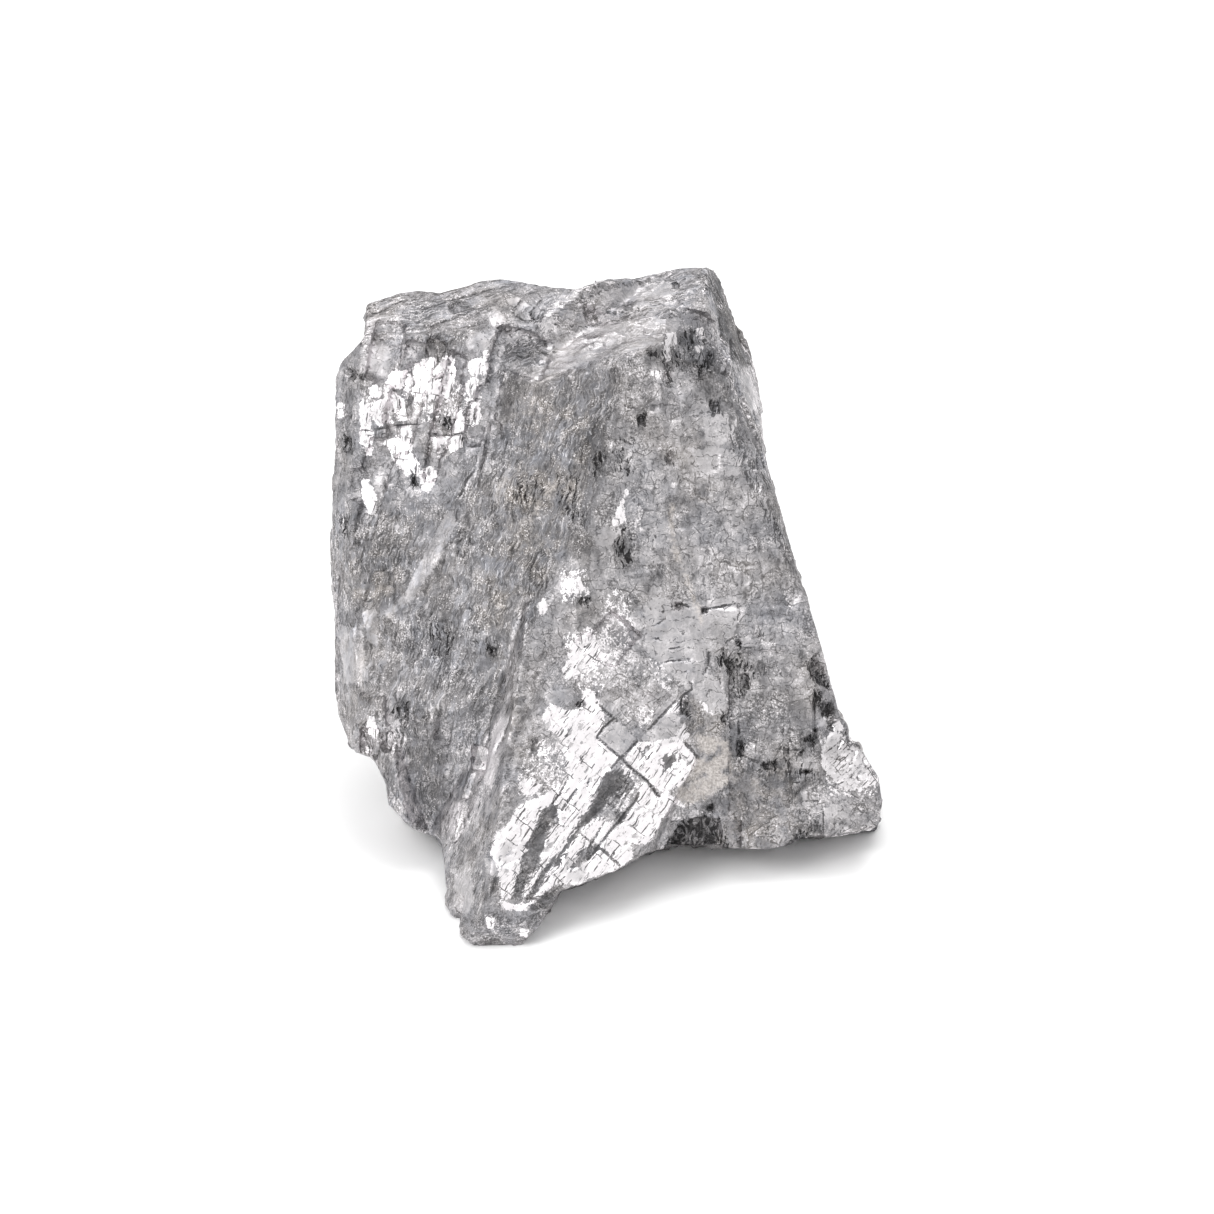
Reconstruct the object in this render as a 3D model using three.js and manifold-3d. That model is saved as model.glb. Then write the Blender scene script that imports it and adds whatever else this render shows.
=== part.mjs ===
// Raw galena: one broken lump of lead ore, as it was split from the vein.
//
// The lump is shaped in the frame of its broad face (x across, y up the face, z out of it).
// Its outer form is a union of blocks. Each block is the same outline, extruded along z and
// split by flat facets, as the mineral splits. Shallow cleavage steps are then cut into the
// facets. At the end the broad face leans back until the lump stands on its underside.
// All lengths are in millimetres and all angles in degrees.
import * as THREE from 'three';
import { mergeVertices } from 'three/addons/utils/BufferGeometryUtils.js';
import Module from 'manifold-3d';

const wasm = await Module();
wasm.setup();

// ---- Driving dimensions ----------------------------------------------------------------

const LEAN = 30;             // the broad face leans back from upright by this angle
const SEAT = 5.1;            // height of the resting plane above the frame's origin
const WARP = 5;              // the cleavage steps lean out of true by up to this angle
const SEED = 7;
const BLANK_BACK = -36;      // the blank runs from here ...
const BLANK_FRONT = 14;      // ... to here along z, before it is split
const CUTTER = 160;          // side of the box that stands for a half-space

// The outline of the broad face, clockwise from the top left corner.
const OUTLINE = [
  [-17.9, 48.0], [-15.5, 48.8], [-14.0, 49.0], [-12.5, 48.8], [-9.5, 49.7], [-7.7, 49.9],
  [-4.3, 49.3], [-2.2, 49.1], [-0.7, 49.6], [2.5, 50.0], [5.6, 50.7], [7.6, 50.8], [8.5, 50.4],
  [9.0, 49.0], [10.95, 45.0], [11.5, 42.4], [11.8, 39.0], [12.2, 35.8], [13.6, 31.1],
  [14.7, 27.4], [16.3, 22.0], [17.6, 17.2], [18.2, 16.3], [18.5, 15.1], [19.1, 14.9],
  [20.6, 12.4], [20.9, 10.5], [20.7, 9.2], [20.2, 8.6], [16.4, 8.0], [15.0, 7.9], [14.5, 7.5],
  [12.2, 7.1], [4.0, 7.1], [2.9, 6.7], [1.1, 5.7], [-0.5, 5.0], [-3.3, 4.0], [-4.1, 2.8],
  [-5.0, 1.3], [-6.4, 0.0], [-9.8, 0.0], [-11.1, 1.0], [-11.8, 3.0], [-12.1, 7.3],
  [-12.7, 8.0], [-14.4, 8.6], [-16.2, 10.4], [-16.4, 12.0], [-17.1, 13.4], [-17.6, 14.0],
  [-18.6, 14.3], [-19.2, 14.9], [-20.0, 16.9], [-20.3, 19.1], [-20.3, 24.8], [-20.8, 29.6],
  [-20.8, 30.7], [-20.5, 31.3], [-20.6, 42.0], [-19.7, 43.7], [-18.1, 45.4], [-18.0, 46.9],
];

// ---- Small tools -----------------------------------------------------------------------

const radians = THREE.MathUtils.degToRad;
const vector = (p) => new THREE.Vector3(...p);

// A direction or place given upright (x right, y back, z up), as seen in the leaning frame.
function upright(p) {
  return vector(p).applyAxisAngle(new THREE.Vector3(1, 0, 0), radians(LEAN) - Math.PI / 2);
}

// Repeatable random numbers, so that the lump is the same each time.
function randomFrom(seed) {
  let state = seed;
  return (low, high) => {
    state = (state * 1664525 + 1013904223) % 4294967296;
    return low + (high - low) * (state / 4294967296);
  };
}

// A closed three.js geometry as a solid that can be joined and cut.
function solid(geometry) {
  const bare = geometry.index ? geometry.toNonIndexed() : geometry.clone();
  bare.deleteAttribute('normal');
  bare.deleteAttribute('uv');
  const merged = mergeVertices(bare, 1e-5);
  const mesh = new wasm.Mesh({
    numProp: 3,
    vertProperties: new Float32Array(merged.attributes.position.array),
    triVerts: new Uint32Array(merged.index.array),
  });
  return new wasm.Manifold(mesh);
}

// A solid back as a three.js geometry.
function geometryOf(made) {
  const mesh = made.getMesh();
  const geometry = new THREE.BufferGeometry();
  geometry.setAttribute('position', new THREE.BufferAttribute(mesh.vertProperties, 3));
  geometry.setIndex(new THREE.BufferAttribute(mesh.triVerts, 1));
  return geometry;
}

// The frame of a facet: z along its normal, y along the grain that runs over it.
function facetFrame({ through, faces, grain = 90 }) {
  const normal = vector(faces).normalize();
  const along = new THREE.Vector3(Math.cos(radians(grain)), Math.sin(radians(grain)), 0);
  const across = new THREE.Vector3().crossVectors(along, normal).normalize();
  along.crossVectors(normal, across);
  return new THREE.Matrix4().makeBasis(across, along, normal).setPosition(...through);
}

// A box in a facet's frame, from a low corner to a high corner.
function boxIn(frame, low, high) {
  const size = high.map((value, i) => value - low[i]);
  const middle = high.map((value, i) => (value + low[i]) / 2);
  const box = new THREE.BoxGeometry(...size).translate(...middle);
  return solid(box.applyMatrix4(frame));
}

// Splits everything that stands outside the facets off a block.
function split(block, facets) {
  const far = CUTTER / 2;
  const waste = facets.map((f) => boxIn(facetFrame(f), [-far, -far, 0], [far, far, CUTTER]));
  return waste.reduce((left, piece) => left.subtract(piece), block);
}

// ---- Facets ----------------------------------------------------------------------------
// Each facet passes through a place, faces a direction, and has a grain: the direction of
// its cleavage lines over the face, counted from x.

const FACET = {
  leftFace: { through: [-14.5, 30, 2.78], faces: [-0.2, 0.06, 1], grain: 77 },
  rightFace: { through: [9, 32, 3.88], faces: [0.12, 0.05, 1], grain: 94 },
  topFace: { through: [3.6, 47, 1.55], faces: [-0.25, 1, 1], grain: 13 },
  rightEdge: { through: [8.6, 43.1, 3.2], faces: [1, 0.385, 0.45], grain: 108 },
  leftEdge: { through: [-20.4, 32, -0.5], faces: [-1, 0, 0.55], grain: 90 },
  underLeft: { through: [-14.5, 16.5, 3.4], faces: [-0.3, -0.28, 1], grain: 84 },
  underLeftLow: { through: [-14.5, 11.5, 1.7], faces: [-0.4, -0.7, 1], grain: 84 },
  rightSide: { through: [14.55, 33, 0], faces: [1, 0.22, -0.2], grain: 100 },
  leftSide: { through: [-20.9, 32, -0.5], faces: [-1, 0.04, -0.28], grain: 88 },

  shoulderFace: { through: [-12.5, 38, 3.36], faces: [-0.16, -0.02, 1], grain: 84 },
  shoulderTop: { through: [-12, 47.2, 1.96], faces: [-0.12, 0.9, 1], grain: 12 },
  shoulderEnd: { through: [-5.2, 45, 3.2], faces: [0.5, -0.1, 0.86], grain: 80 },

  ridgeLeft: { through: [-8, 11.6, 8.7], faces: [-0.84, 0.26, 0.5], grain: 68 },
  ridgeFace: { through: [-2.5, 13, 7.8], faces: [0.23, 0.25, 1], grain: 52 },
  ridgeRight: { through: [6.6, 13, 5], faces: [0.93, -0.37, 0.4], grain: 66 },
  toeTip: { through: [-8, 2.2, 12.1], faces: [0.05, -0.62, 0.8], grain: 10 },

  footFace: { through: [18, 11, -0.4], faces: [0.22, -0.1, 1], grain: 92 },
  footTop: { through: [18.5, 14.6, -1], faces: [0.3, 0.55, 0.8], grain: 50 },
  footLeft: { through: [12, 12, -4], faces: [-1, 0, 0], grain: 90 },

  lobeFace: { through: [-18.6, 20, 3.3], faces: [-0.28, -0.12, 1], grain: 86 },
  lobeRight: { through: [-16.4, 20, 3], faces: [0.7, 0.1, 0.75], grain: 86 },
  lobeTop: { through: [-18.5, 25.6, 3], faces: [0.1, 1, 0.3], grain: 4 },

  // The hidden side, by upright directions and places.
  back: { through: upright([0, 28, 42]), faces: upright([0.05, 1, -0.08]), grain: 97 },
  backLeft: { through: upright([-18, 25.6, 30]), faces: upright([-0.6, 0.8, 0.03]), grain: 94 },
  backLow: { through: upright([-17, 17, 14]), faces: upright([-0.7, 0.6, -0.45]), grain: 60 },
  backRight: { through: upright([13, 22, 20]), faces: upright([0.7, 0.7, -0.1]), grain: 84 },
  backTop: { through: upright([-6, 26, 43.2]), faces: upright([-0.1, 0.5, 1]), grain: 5 },
  footBack: { through: upright([16, 14, 8]), faces: upright([0.5, 0.8, 0.3]), grain: 90 },
};

const HIDDEN = ['back', 'backLeft', 'backLow', 'backRight', 'backTop'];
const SIDES = ['rightSide', 'leftSide', 'leftEdge', ...HIDDEN];

// The blocks that the lump is a union of, each by the facets that bound it.
const BLOCKS = {
  core: ['leftFace', 'rightFace', 'topFace', 'rightEdge', 'underLeft', 'underLeftLow', ...SIDES],
  shoulder: ['shoulderFace', 'shoulderTop', 'shoulderEnd', 'underLeft', ...SIDES],
  ridge: ['ridgeLeft', 'ridgeFace', 'ridgeRight', 'toeTip', ...SIDES],
  foot: ['footFace', 'footTop', 'footLeft', 'footBack', ...HIDDEN],
  lobe: ['lobeFace', 'lobeRight', 'lobeTop', ...SIDES],
};

// Pieces broken out of the blocks: boxes cut in the frame of their floor.
const BREAKS = {
  nook: { through: [-6.6, 44.2, 2.9], faces: [0.2, 0.3, 1], grain: 70,
    low: [-1.9, -1.6, 0], high: [2.4, 1.7, 6] },
  cornerRecess: { through: [9.3, 14, 3.5], faces: [0.02, -0.02, 1], grain: 89,
    low: [0, -9, 0], high: [14, 8, 6] },
  darkCorner: { through: [6.8, 8.2, 2.2], faces: [0.05, -0.1, 1], grain: 88,
    low: [-2.2, -3, 0], high: [3.4, 1.3, 6] },
  brokenCorner: { through: [6.1, 44.9, 1.5], faces: [0.4, 0.2, 1], grain: 66,
    low: [-2, -1.6, 0], high: [3.4, 2.6, 6] },
  backStepLow: { through: upright([4, 25.8, 17]), faces: upright([0.12, 1, 0.06]), grain: 97,
    low: [0, -26, 0], high: [18, 0, 8] },
  backStepTop: { through: upright([-3, 26.6, 32]), faces: upright([-0.1, 1, -0.02]), grain: 90,
    low: [-18, 0, 0], high: [0, 14, 8] },
  leftStep: { through: [-18.2, 24, -9], faces: [-1, 0.03, -0.16], grain: 88,
    low: [-9, -12, 0], high: [4, 7, 5] },
  edgePit: { through: [16.6, 19.2, 1.6], faces: [0.5, 0.1, 1], grain: 104,
    low: [-1.2, -2.6, 0], high: [3, 2.6, 6] },
};

// Cleavage steps over a facet: how many, how far they spread from the facet's place (across
// and along the grain), their least and greatest size that way, and their depths.
const STEPS = {
  leftFace: { count: 34, spread: [6, 14], wide: [0.7, 2.4], long: [2, 7], deep: [0.05, 0.18] },
  shoulderFace: { count: 20, spread: [7, 6], wide: [1, 3], long: [1, 3.6], deep: [0.02, 0.07] },
  shoulderTop: { count: 9, spread: [1.6, 8], wide: [0.5, 1.4], long: [2, 6], deep: [0.04, 0.12] },
  rightFace: { count: 34, spread: [8, 13], wide: [0.9, 3], long: [1.2, 4], deep: [0.05, 0.15] },
  topFace: { count: 12, spread: [2.6, 4], wide: [0.4, 1.3], long: [2, 5.5], deep: [0.08, 0.25] },
  rightEdge: { count: 8, spread: [2.5, 8], wide: [0.4, 1.2], long: [3, 8], deep: [0.15, 0.5] },
  leftEdge: { count: 10, spread: [3, 15], wide: [0.8, 2], long: [2, 5], deep: [0.08, 0.25] },
  underLeft: { count: 10, spread: [6, 4], wide: [0.7, 2], long: [1.5, 4], deep: [0.1, 0.4] },
  ridgeFace: { count: 26, spread: [7, 12], wide: [1, 3], long: [1.6, 6], deep: [0.07, 0.2] },
  ridgeLeft: { count: 8, spread: [4, 10], wide: [0.6, 1.4], long: [3, 7], deep: [0.08, 0.25] },
  footFace: { count: 7, spread: [4, 5], wide: [0.6, 1.6], long: [0.8, 2], deep: [0.1, 0.3] },
  rightSide: { count: 20, spread: [14, 16], wide: [1, 4], long: [2, 7], deep: [0.2, 0.6] },
  leftSide: { count: 20, spread: [14, 16], wide: [1, 4], long: [2, 7], deep: [0.2, 0.6] },
  back: { count: 34, spread: [16, 18], wide: [1.4, 5], long: [2, 8], deep: [0.3, 1.4] },
  backLeft: { count: 14, spread: [8, 16], wide: [1, 4], long: [2, 7], deep: [0.3, 1] },
  backLow: { count: 14, spread: [10, 10], wide: [1, 4], long: [2, 6], deep: [0.3, 1.1] },
  backRight: { count: 16, spread: [9, 16], wide: [1, 4], long: [2, 7], deep: [0.3, 1.1] },
  backTop: { count: 9, spread: [10, 6], wide: [0.8, 2], long: [1.5, 5], deep: [0.2, 0.6] },
};

function blank() {
  const shape = new THREE.Shape(OUTLINE.map(([x, y]) => new THREE.Vector2(x, y)));
  const depth = BLANK_FRONT - BLANK_BACK;
  const made = new THREE.ExtrudeGeometry(shape, { depth, bevelEnabled: false });
  return solid(made.translate(0, 0, BLANK_BACK));
}

function rawLump() {
  const whole = blank();
  const blocks = Object.values(BLOCKS).map((names) => split(whole, names.map((n) => FACET[n])));
  return blocks.reduce((lump, block) => lump.add(block));
}

function broken(lump) {
  const pieces = Object.values(BREAKS).map((b) => boxIn(facetFrame(b), b.low, b.high));
  return pieces.reduce((left, piece) => left.subtract(piece), lump);
}

// The crystal is slightly warped, so the floor of each step leans by a few degrees.
function stepsOver(facet, { count, spread, wide, long, deep }, random) {
  const frame = facetFrame(facet);
  return Array.from({ length: count }, () => {
    const [x, y] = [random(-spread[0], spread[0]), random(-spread[1], spread[1])];
    const [w, l, d] = [random(...wide) / 2, random(...long) / 2, random(...deep)];
    const leans = [0, 0, 0].map(() => radians(random(-WARP, WARP)));
    const place = new THREE.Matrix4().makeTranslation(x, y, 0);
    place.multiply(new THREE.Matrix4().makeRotationFromEuler(new THREE.Euler(...leans)));
    return boxIn(place.premultiply(frame), [-w, -l, -d], [w, l, 2.5]);
  });
}

function cleaved(lump) {
  const random = randomFrom(SEED);
  const steps = Object.entries(STEPS).flatMap(([n, step]) => stepsOver(FACET[n], step, random));
  return steps.reduce((left, step) => left.subtract(step), lump);
}

// ---- The resting side ------------------------------------------------------------------

const SEAT_FACET = { through: upright([0, 0, SEAT]), faces: upright([0, 0, -1]), grain: 0 };

// The lump stands on three rough pads. Each is given by its place (back and across) and size.
const PADS = [
  { at: [-7.6, -7.8], size: 2.6 },
  { at: [8.5, 14.6], size: 3 },
  { at: [20.5, -6], size: 3.4 },
];
const HOLLOWS = { count: 64, back: [-9, 27], across: [-20, 19], size: [2, 7], deep: [0.4, 2.4] };

// Breaks chips out of the resting side, everywhere but on the pads.
function hollowed(lump) {
  const random = randomFrom(SEED + 1);
  const frame = facetFrame(SEAT_FACET);
  const chips = [];
  for (let i = 0; i < HOLLOWS.count; i += 1) {
    const [y, x] = [random(...HOLLOWS.back), random(...HOLLOWS.across)];
    const [w, l, d] = [random(...HOLLOWS.size) / 2, random(...HOLLOWS.size) / 2, random(...HOLLOWS.deep)];
    const turn = new THREE.Euler(radians(random(-8, 8)), radians(random(-8, 8)), radians(random(10, 34)));
    const place = new THREE.Matrix4().makeRotationFromEuler(turn).setPosition(y, x, 0);
    const reach = Math.hypot(w, l);
    const clear = PADS.every(({ at, size }) => Math.hypot(y - at[0], x - at[1]) > size + reach * 0.8);
    if (clear) chips.push(boxIn(place.premultiply(frame), [-w, -l, -d], [w, l, 3]));
  }
  return chips.reduce((left, chip) => left.subtract(chip), lump);
}

function stand(lump) {
  return hollowed(split(lump, [SEAT_FACET]));
}

// The main piece, without the crumbs that the cuts leave loose.
function mainPiece(lump) {
  const pieces = lump.decompose();
  return pieces.reduce((best, piece) => (piece.volume() > best.volume() ? piece : best));
}

const lump = mainPiece(stand(cleaved(broken(rawLump()))));

const stone = new THREE.Mesh(
  geometryOf(lump),
  new THREE.MeshStandardMaterial({ color: 0x9a999c, roughness: 0.38, metalness: 0.9 }),
);
stone.name = 'galena';

const leaning = new THREE.Group();
leaning.rotation.x = Math.PI / 2 - radians(LEAN);
leaning.add(stone);

const part = new THREE.Group();
part.add(leaning);
part.updateMatrixWorld(true);
const room = new THREE.Box3().setFromObject(stone, true);
leaning.position.set(-(room.min.x + room.max.x) / 2, -(room.min.y + room.max.y) / 2, -room.min.z);

export default part;
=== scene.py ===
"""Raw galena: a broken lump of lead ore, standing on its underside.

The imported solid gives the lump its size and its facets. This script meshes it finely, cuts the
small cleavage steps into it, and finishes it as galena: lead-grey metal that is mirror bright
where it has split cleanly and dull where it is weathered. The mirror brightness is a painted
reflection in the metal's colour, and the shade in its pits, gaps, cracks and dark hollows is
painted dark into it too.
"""

import math
from types import SimpleNamespace

import bmesh
import bpy
import numpy as np
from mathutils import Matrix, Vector


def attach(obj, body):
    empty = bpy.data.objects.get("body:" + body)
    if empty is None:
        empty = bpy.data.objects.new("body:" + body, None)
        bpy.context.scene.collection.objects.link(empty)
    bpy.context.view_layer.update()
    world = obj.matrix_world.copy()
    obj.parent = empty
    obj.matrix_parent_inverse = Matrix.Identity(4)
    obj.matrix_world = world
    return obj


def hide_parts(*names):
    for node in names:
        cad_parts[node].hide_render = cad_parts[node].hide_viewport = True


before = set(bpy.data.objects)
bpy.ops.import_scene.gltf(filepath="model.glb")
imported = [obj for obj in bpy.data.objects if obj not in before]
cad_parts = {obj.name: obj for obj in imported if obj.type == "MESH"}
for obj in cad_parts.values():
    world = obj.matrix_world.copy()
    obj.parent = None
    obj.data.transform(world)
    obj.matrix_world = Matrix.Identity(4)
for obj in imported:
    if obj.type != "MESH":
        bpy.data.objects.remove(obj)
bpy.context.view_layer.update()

MM = 0.001
SEED = 11

# ---- The picture plane --------------------------------------------------------------------
# Places on the broad face are given as points across and down a square plane that faces the
# camera.

POINTS = 1214  # points across the picture plane
POINT = 0.075 * MM  # how far apart two points are on the lump
LOOK_DOWN = math.radians(30)  # the camera looks down by this angle
DISTANCE = 1.3  # from the camera to the middle of the lump
MIDDLE = Vector((0.0001, 0.0, 0.01854))  # what the plane is centred on

RIGHT = np.array((1.0, 0.0, 0.0))
UP = np.array((0.0, math.sin(LOOK_DOWN), math.cos(LOOK_DOWN)))
NEAR = np.array((0.0, -math.cos(LOOK_DOWN), math.sin(LOOK_DOWN)))


def on_picture(co):
    """Where each place on the lump falls on the plane, in points across and down."""
    out = co - np.array(MIDDLE)
    zoom = DISTANCE / (DISTANCE - out @ NEAR) / POINT
    return np.stack([POINTS / 2 + out @ RIGHT * zoom, POINTS / 2 - out @ UP * zoom], axis=1)


# ---- Crystal zones ------------------------------------------------------------------------
# How each part of the broad face split: the way it faces (right, up, near), the angle of its
# grain in degrees counted from level, how light it is, how high its cleavage steps are, how
# fibrous it is, how strongly flecked, and its outline on the picture plane. How light a zone is
# holds its own grey and painted light and shade as well: each face is made lighter or darker for
# the light it catches as it turns. A later zone lies over an earlier one.


def zone(faces, grain, tone, step, fibre, fleck, outline=None):
    return dict(faces=faces, grain=grain, tone=tone, step=step, fibre=fibre, fleck=fleck,
                outline=outline)


ZONES = {
    "right_face": zone((0.12, 0.05, 1), 93, 0.335, 0.1, 0.2, 0.95),
    "left_face": zone((-0.2, 0.06, 1), 76, 0.228, 0.08, 1.0, 1.12, [
        (300, 250), (600, 250), (622, 380), (600, 480), (572, 560), (540, 600), (510, 700),
        (440, 720), (300, 960)]),
    "left_margin": zone((-0.7, 0.0, 0.7), 99, 0.29, 0.1, 1.0, 1.2, [
        (300, 340), (352, 350), (350, 480), (360, 600), (352, 760), (300, 760)]),
    "shoulder": zone((-0.16, 0, 1), 84, 0.318, 0.04, 0.4, 1, [
        (330, 340), (420, 345), (500, 350), (490, 440), (440, 505), (330, 500)]),
    "shoulder_top": zone((-0.12, 0.9, 1), 12, 0.29, 0.1, 0.9, 1.3, [
        (355, 360), (365, 280), (500, 270), (560, 280), (545, 330), (430, 335), (400, 345)]),
    "shoulder_blocks": zone((-0.2, 0.7, 1), 38, 0.34, 0.4, 0.2, 1.2, [
        (482, 300), (540, 282), (562, 290), (556, 330), (550, 362), (505, 372), (468, 352)]),
    "top_face": zone((-0.25, 1, 1), 14, 0.33, 0.12, 1.0, 1.3, [
        (520, 387), (555, 300), (560, 270), (720, 255), (704, 285), (690, 312), (668, 340),
        (640, 352), (590, 364), (562, 376), (540, 386)]),
    "right_edge": zone((1, 0.385, 0.45), 112, 0.27, 0.12, 1.0, 1.7, [
        (700, 262), (703, 290), (722, 370), (742, 425), (768, 490), (800, 490), (760, 260)]),
    "lower_left": zone((-0.3, -0.4, 1), 86, 0.33, 0.3, 0.9, 1.2, [
        (330, 715), (400, 722), (442, 732), (442, 880), (330, 880)]),
    "ridge_left": zone((-0.84, 0.26, 0.5), 66, 0.335, 0.12, 0.9, 1.05, [
        (441, 760), (470, 720), (505, 690), (545, 700), (530, 760), (515, 800), (488, 850),
        (480, 960), (440, 960)]),
    "ridge_face": zone((0.23, 0.25, 1), 52, 0.37, 0.3, 0.4, 0.95, [
        (488, 850), (515, 800), (532, 720), (545, 660), (580, 640), (640, 655), (692, 690),
        (704, 740), (690, 800), (668, 850), (600, 900), (530, 930), (488, 925)]),
    "toe": zone((0.05, -0.62, 0.8), 14, 0.275, 0.35, 0.6, 1.5, [
        (440, 960), (455, 915), (500, 915), (535, 900), (580, 890), (560, 960)]),
    "corner": zone((0.02, -0.02, 1), 89.5, 0.315, 0.12, 0.2, 1.15, [
        (728, 648), (800, 640), (840, 720), (822, 750), (835, 850), (700, 860), (706, 800),
        (728, 770)]),
    "foot": zone((0.3, 0.3, 0.9), 42, 0.25, 0.3, 0.1, 1.1, [
        (832, 715), (900, 720), (900, 850), (822, 850), (838, 790), (820, 750)]),
}
ZONE_WAVES = 0.9 * MM  # the size of the waves along the zones' outlines
ZONE_SWAY = 7  # and how far they sway, in points
# Crystals of the sides away from the broad face: how many, the low and high corner of the box
# they are centred in, the place they face away from, how loosely they turn and lean, and how
# dark and light they go.
HIDDEN_ZONES = 16
HIDDEN_BOX = (-0.02, -0.005, 0), (0.02, 0.02, 0.038)
HEART = np.array((0, 0, 0.018))
LOOSE_TURN, LOOSE_LEAN = 0.002, 0.35
HIDDEN_TONES = (0.65, 1.15)
HIDDEN = zone(None, None, 0.36, 1.6, 0.5, 1.1)
HIDDEN_WAVES, HIDDEN_SWAY = 1.6 * MM, 1.4 * MM  # the waves along their edges
HIDDEN_WARMTH = 0.2

# ---- What is seen where -------------------------------------------------------------------
# Outlines on the picture plane, each a list of corners in points across and down.

# Mirror-bright cleavage, its brightness a painted reflection laid into the colour.
BRIGHT = [
    # the shoulder
    [(413, 367), (422, 361), (436, 357), (434, 365), (441, 363), (444, 358), (453, 357),
     (455, 370), (452, 388), (449, 398), (437, 399), (431, 397), (419, 401), (413, 391),
     (414, 380)],
    [(384, 387), (394, 387), (395, 396), (397, 409), (390, 408), (385, 398)],
    [(338, 405), (343, 404), (344, 416), (339, 418)],
    [(386, 386), (392, 373), (408, 370), (402, 378), (401, 388), (391, 388)],
    [(406, 380), (411, 374), (412, 388), (408, 391)],
    [(370, 388), (377, 386), (380, 390), (379, 396), (371, 397)],
    [(361, 404), (367, 400), (370, 412), (369, 429), (361, 430)],
    [(372, 402), (386, 400), (392, 406), (391, 424), (386, 420), (379, 425), (374, 418)],
    [(394, 397), (400, 397), (404, 401), (406, 412), (405, 421), (400, 420), (397, 406)],
    [(361, 432), (373, 431), (371, 454), (367, 455), (365, 446), (361, 443)],
    [(400, 427), (410, 425), (411, 453), (418, 467), (418, 476), (410, 469), (409, 477),
     (395, 461), (390, 447), (384, 442), (396, 438), (404, 440), (402, 432)],
    [(421, 470), (432, 467), (437, 474), (432, 486), (427, 491), (422, 488)],
    [(449, 432), (453, 420), (458, 411), (466, 421), (467, 432)],
    [(432, 438), (448, 438), (463, 436), (460, 447), (452, 453), (444, 443), (434, 449)],
    [(469, 363), (477, 359), (482, 361), (482, 370), (477, 376), (478, 400), (471, 399),
     (467, 387), (472, 378)],
    [(472, 404), (478, 404), (480, 418), (477, 424), (475, 416), (472, 418)],
    [(484, 352), (488, 352), (488, 372), (484, 374)],
    [(363, 482), (367, 480), (372, 489), (376, 497), (375, 513), (370, 513), (364, 499)],
    # the left margin
    [(369, 716), (373, 718), (378, 732), (374, 740), (368, 728)],
    [(365, 748), (370, 749), (370, 753), (365, 752)],
    # the broken corner
    [(667, 334), (675, 333), (676, 342), (672, 346), (668, 342)],
    [(697, 330), (702, 329), (704, 336), (699, 338)],
    [(650, 372), (660, 372), (668, 377), (666, 379), (656, 375)],
    [(696, 346), (703, 346), (703, 351), (697, 351)],
    # under the top facet and down the middle
    [(664, 343), (669, 345), (671, 354), (667, 363), (664, 358)],
    [(627, 490), (622, 505), (626, 522), (612, 524), (618, 510)],
    [(756, 483), (762, 484), (760, 490), (756, 489)],
    [(565, 582), (572, 579), (581, 582), (584, 589), (578, 593), (569, 591)],
    [(538, 606), (545, 598), (546, 609), (541, 616)],
    # the ridge, left of its first dark band
    [(516, 812), (523, 804), (540, 799), (552, 790), (566, 780), (563, 790), (550, 803),
     (541, 811), (534, 829), (530, 838), (522, 846), (528, 849), (521, 860), (519, 872),
     (514, 890), (510, 897), (503, 898), (500, 882), (499, 868), (491, 852), (497, 835),
     (510, 824)],
    [(520, 783), (524, 779), (540, 786), (532, 795), (523, 792)],
    [(574, 640), (590, 632), (600, 645), (596, 659), (580, 668), (567, 681), (564, 670),
     (572, 655)],
    [(597, 649), (607, 655), (603, 664), (595, 661)],
    # the ridge, above and between the bands
    [(543, 717), (547, 709), (552, 705), (566, 711), (578, 711), (584, 707), (583, 692),
     (588, 689), (598, 701), (603, 714), (603, 722), (597, 737), (617, 757), (611, 768),
     (600, 782), (591, 803), (587, 814), (574, 832), (566, 846), (556, 858), (547, 858),
     (545, 845), (550, 830), (559, 824), (560, 812), (555, 803), (567, 783), (567, 773),
     (566, 755), (560, 735), (546, 727)],
    [(543, 850), (548, 860), (541, 872), (529, 889), (524, 899), (523, 893), (533, 878),
     (541, 862)],
    [(554, 866), (566, 866), (578, 869), (590, 860), (600, 850), (620, 866), (604, 873),
     (590, 876), (579, 885), (566, 884), (556, 883), (541, 895), (529, 905), (540, 889),
     (550, 871)],
    [(565, 849), (571, 846), (579, 833), (590, 842), (578, 858), (571, 866), (561, 862)],
    [(582, 830), (594, 819), (603, 818), (604, 823), (592, 841)],
    [(606, 824), (612, 821), (603, 839), (598, 844), (596, 842)],
    # the ridge, right of the bands
    [(640, 786), (645, 783), (655, 797), (661, 822), (656, 835), (645, 844), (629, 842),
     (632, 857), (621, 866), (612, 857), (600, 846), (613, 829), (622, 824), (632, 810),
     (641, 794)],
    [(626, 758), (638, 744), (657, 742), (668, 740), (678, 739), (688, 747), (697, 760),
     (694, 768), (680, 784), (664, 792), (650, 780), (632, 765)],
    [(622, 765), (631, 771), (632, 775), (625, 772)],
    [(668, 709), (683, 697), (686, 696), (679, 711), (670, 712)],
    [(676, 733), (682, 728), (684, 722), (689, 735), (684, 740)],
    [(658, 799), (664, 796), (671, 803), (669, 816), (663, 817)],
    [(662, 795), (668, 793), (684, 806), (674, 803)],
    [(701, 702), (704, 703), (712, 714), (706, 711)],
    # the toe
    [(500, 901), (512, 905), (528, 904), (527, 909), (505, 909)],
    [(487, 918), (494, 919), (493, 928), (488, 927)],
    [(521, 929), (528, 930), (526, 937), (521, 935)],
    # the foot
    [(830, 735), (836, 720), (839, 721), (845, 734), (846, 745), (857, 747), (866, 758),
     (870, 770), (877, 782), (862, 788), (846, 789), (835, 779), (824, 768), (822, 756),
     (824, 748)],
]
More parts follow.
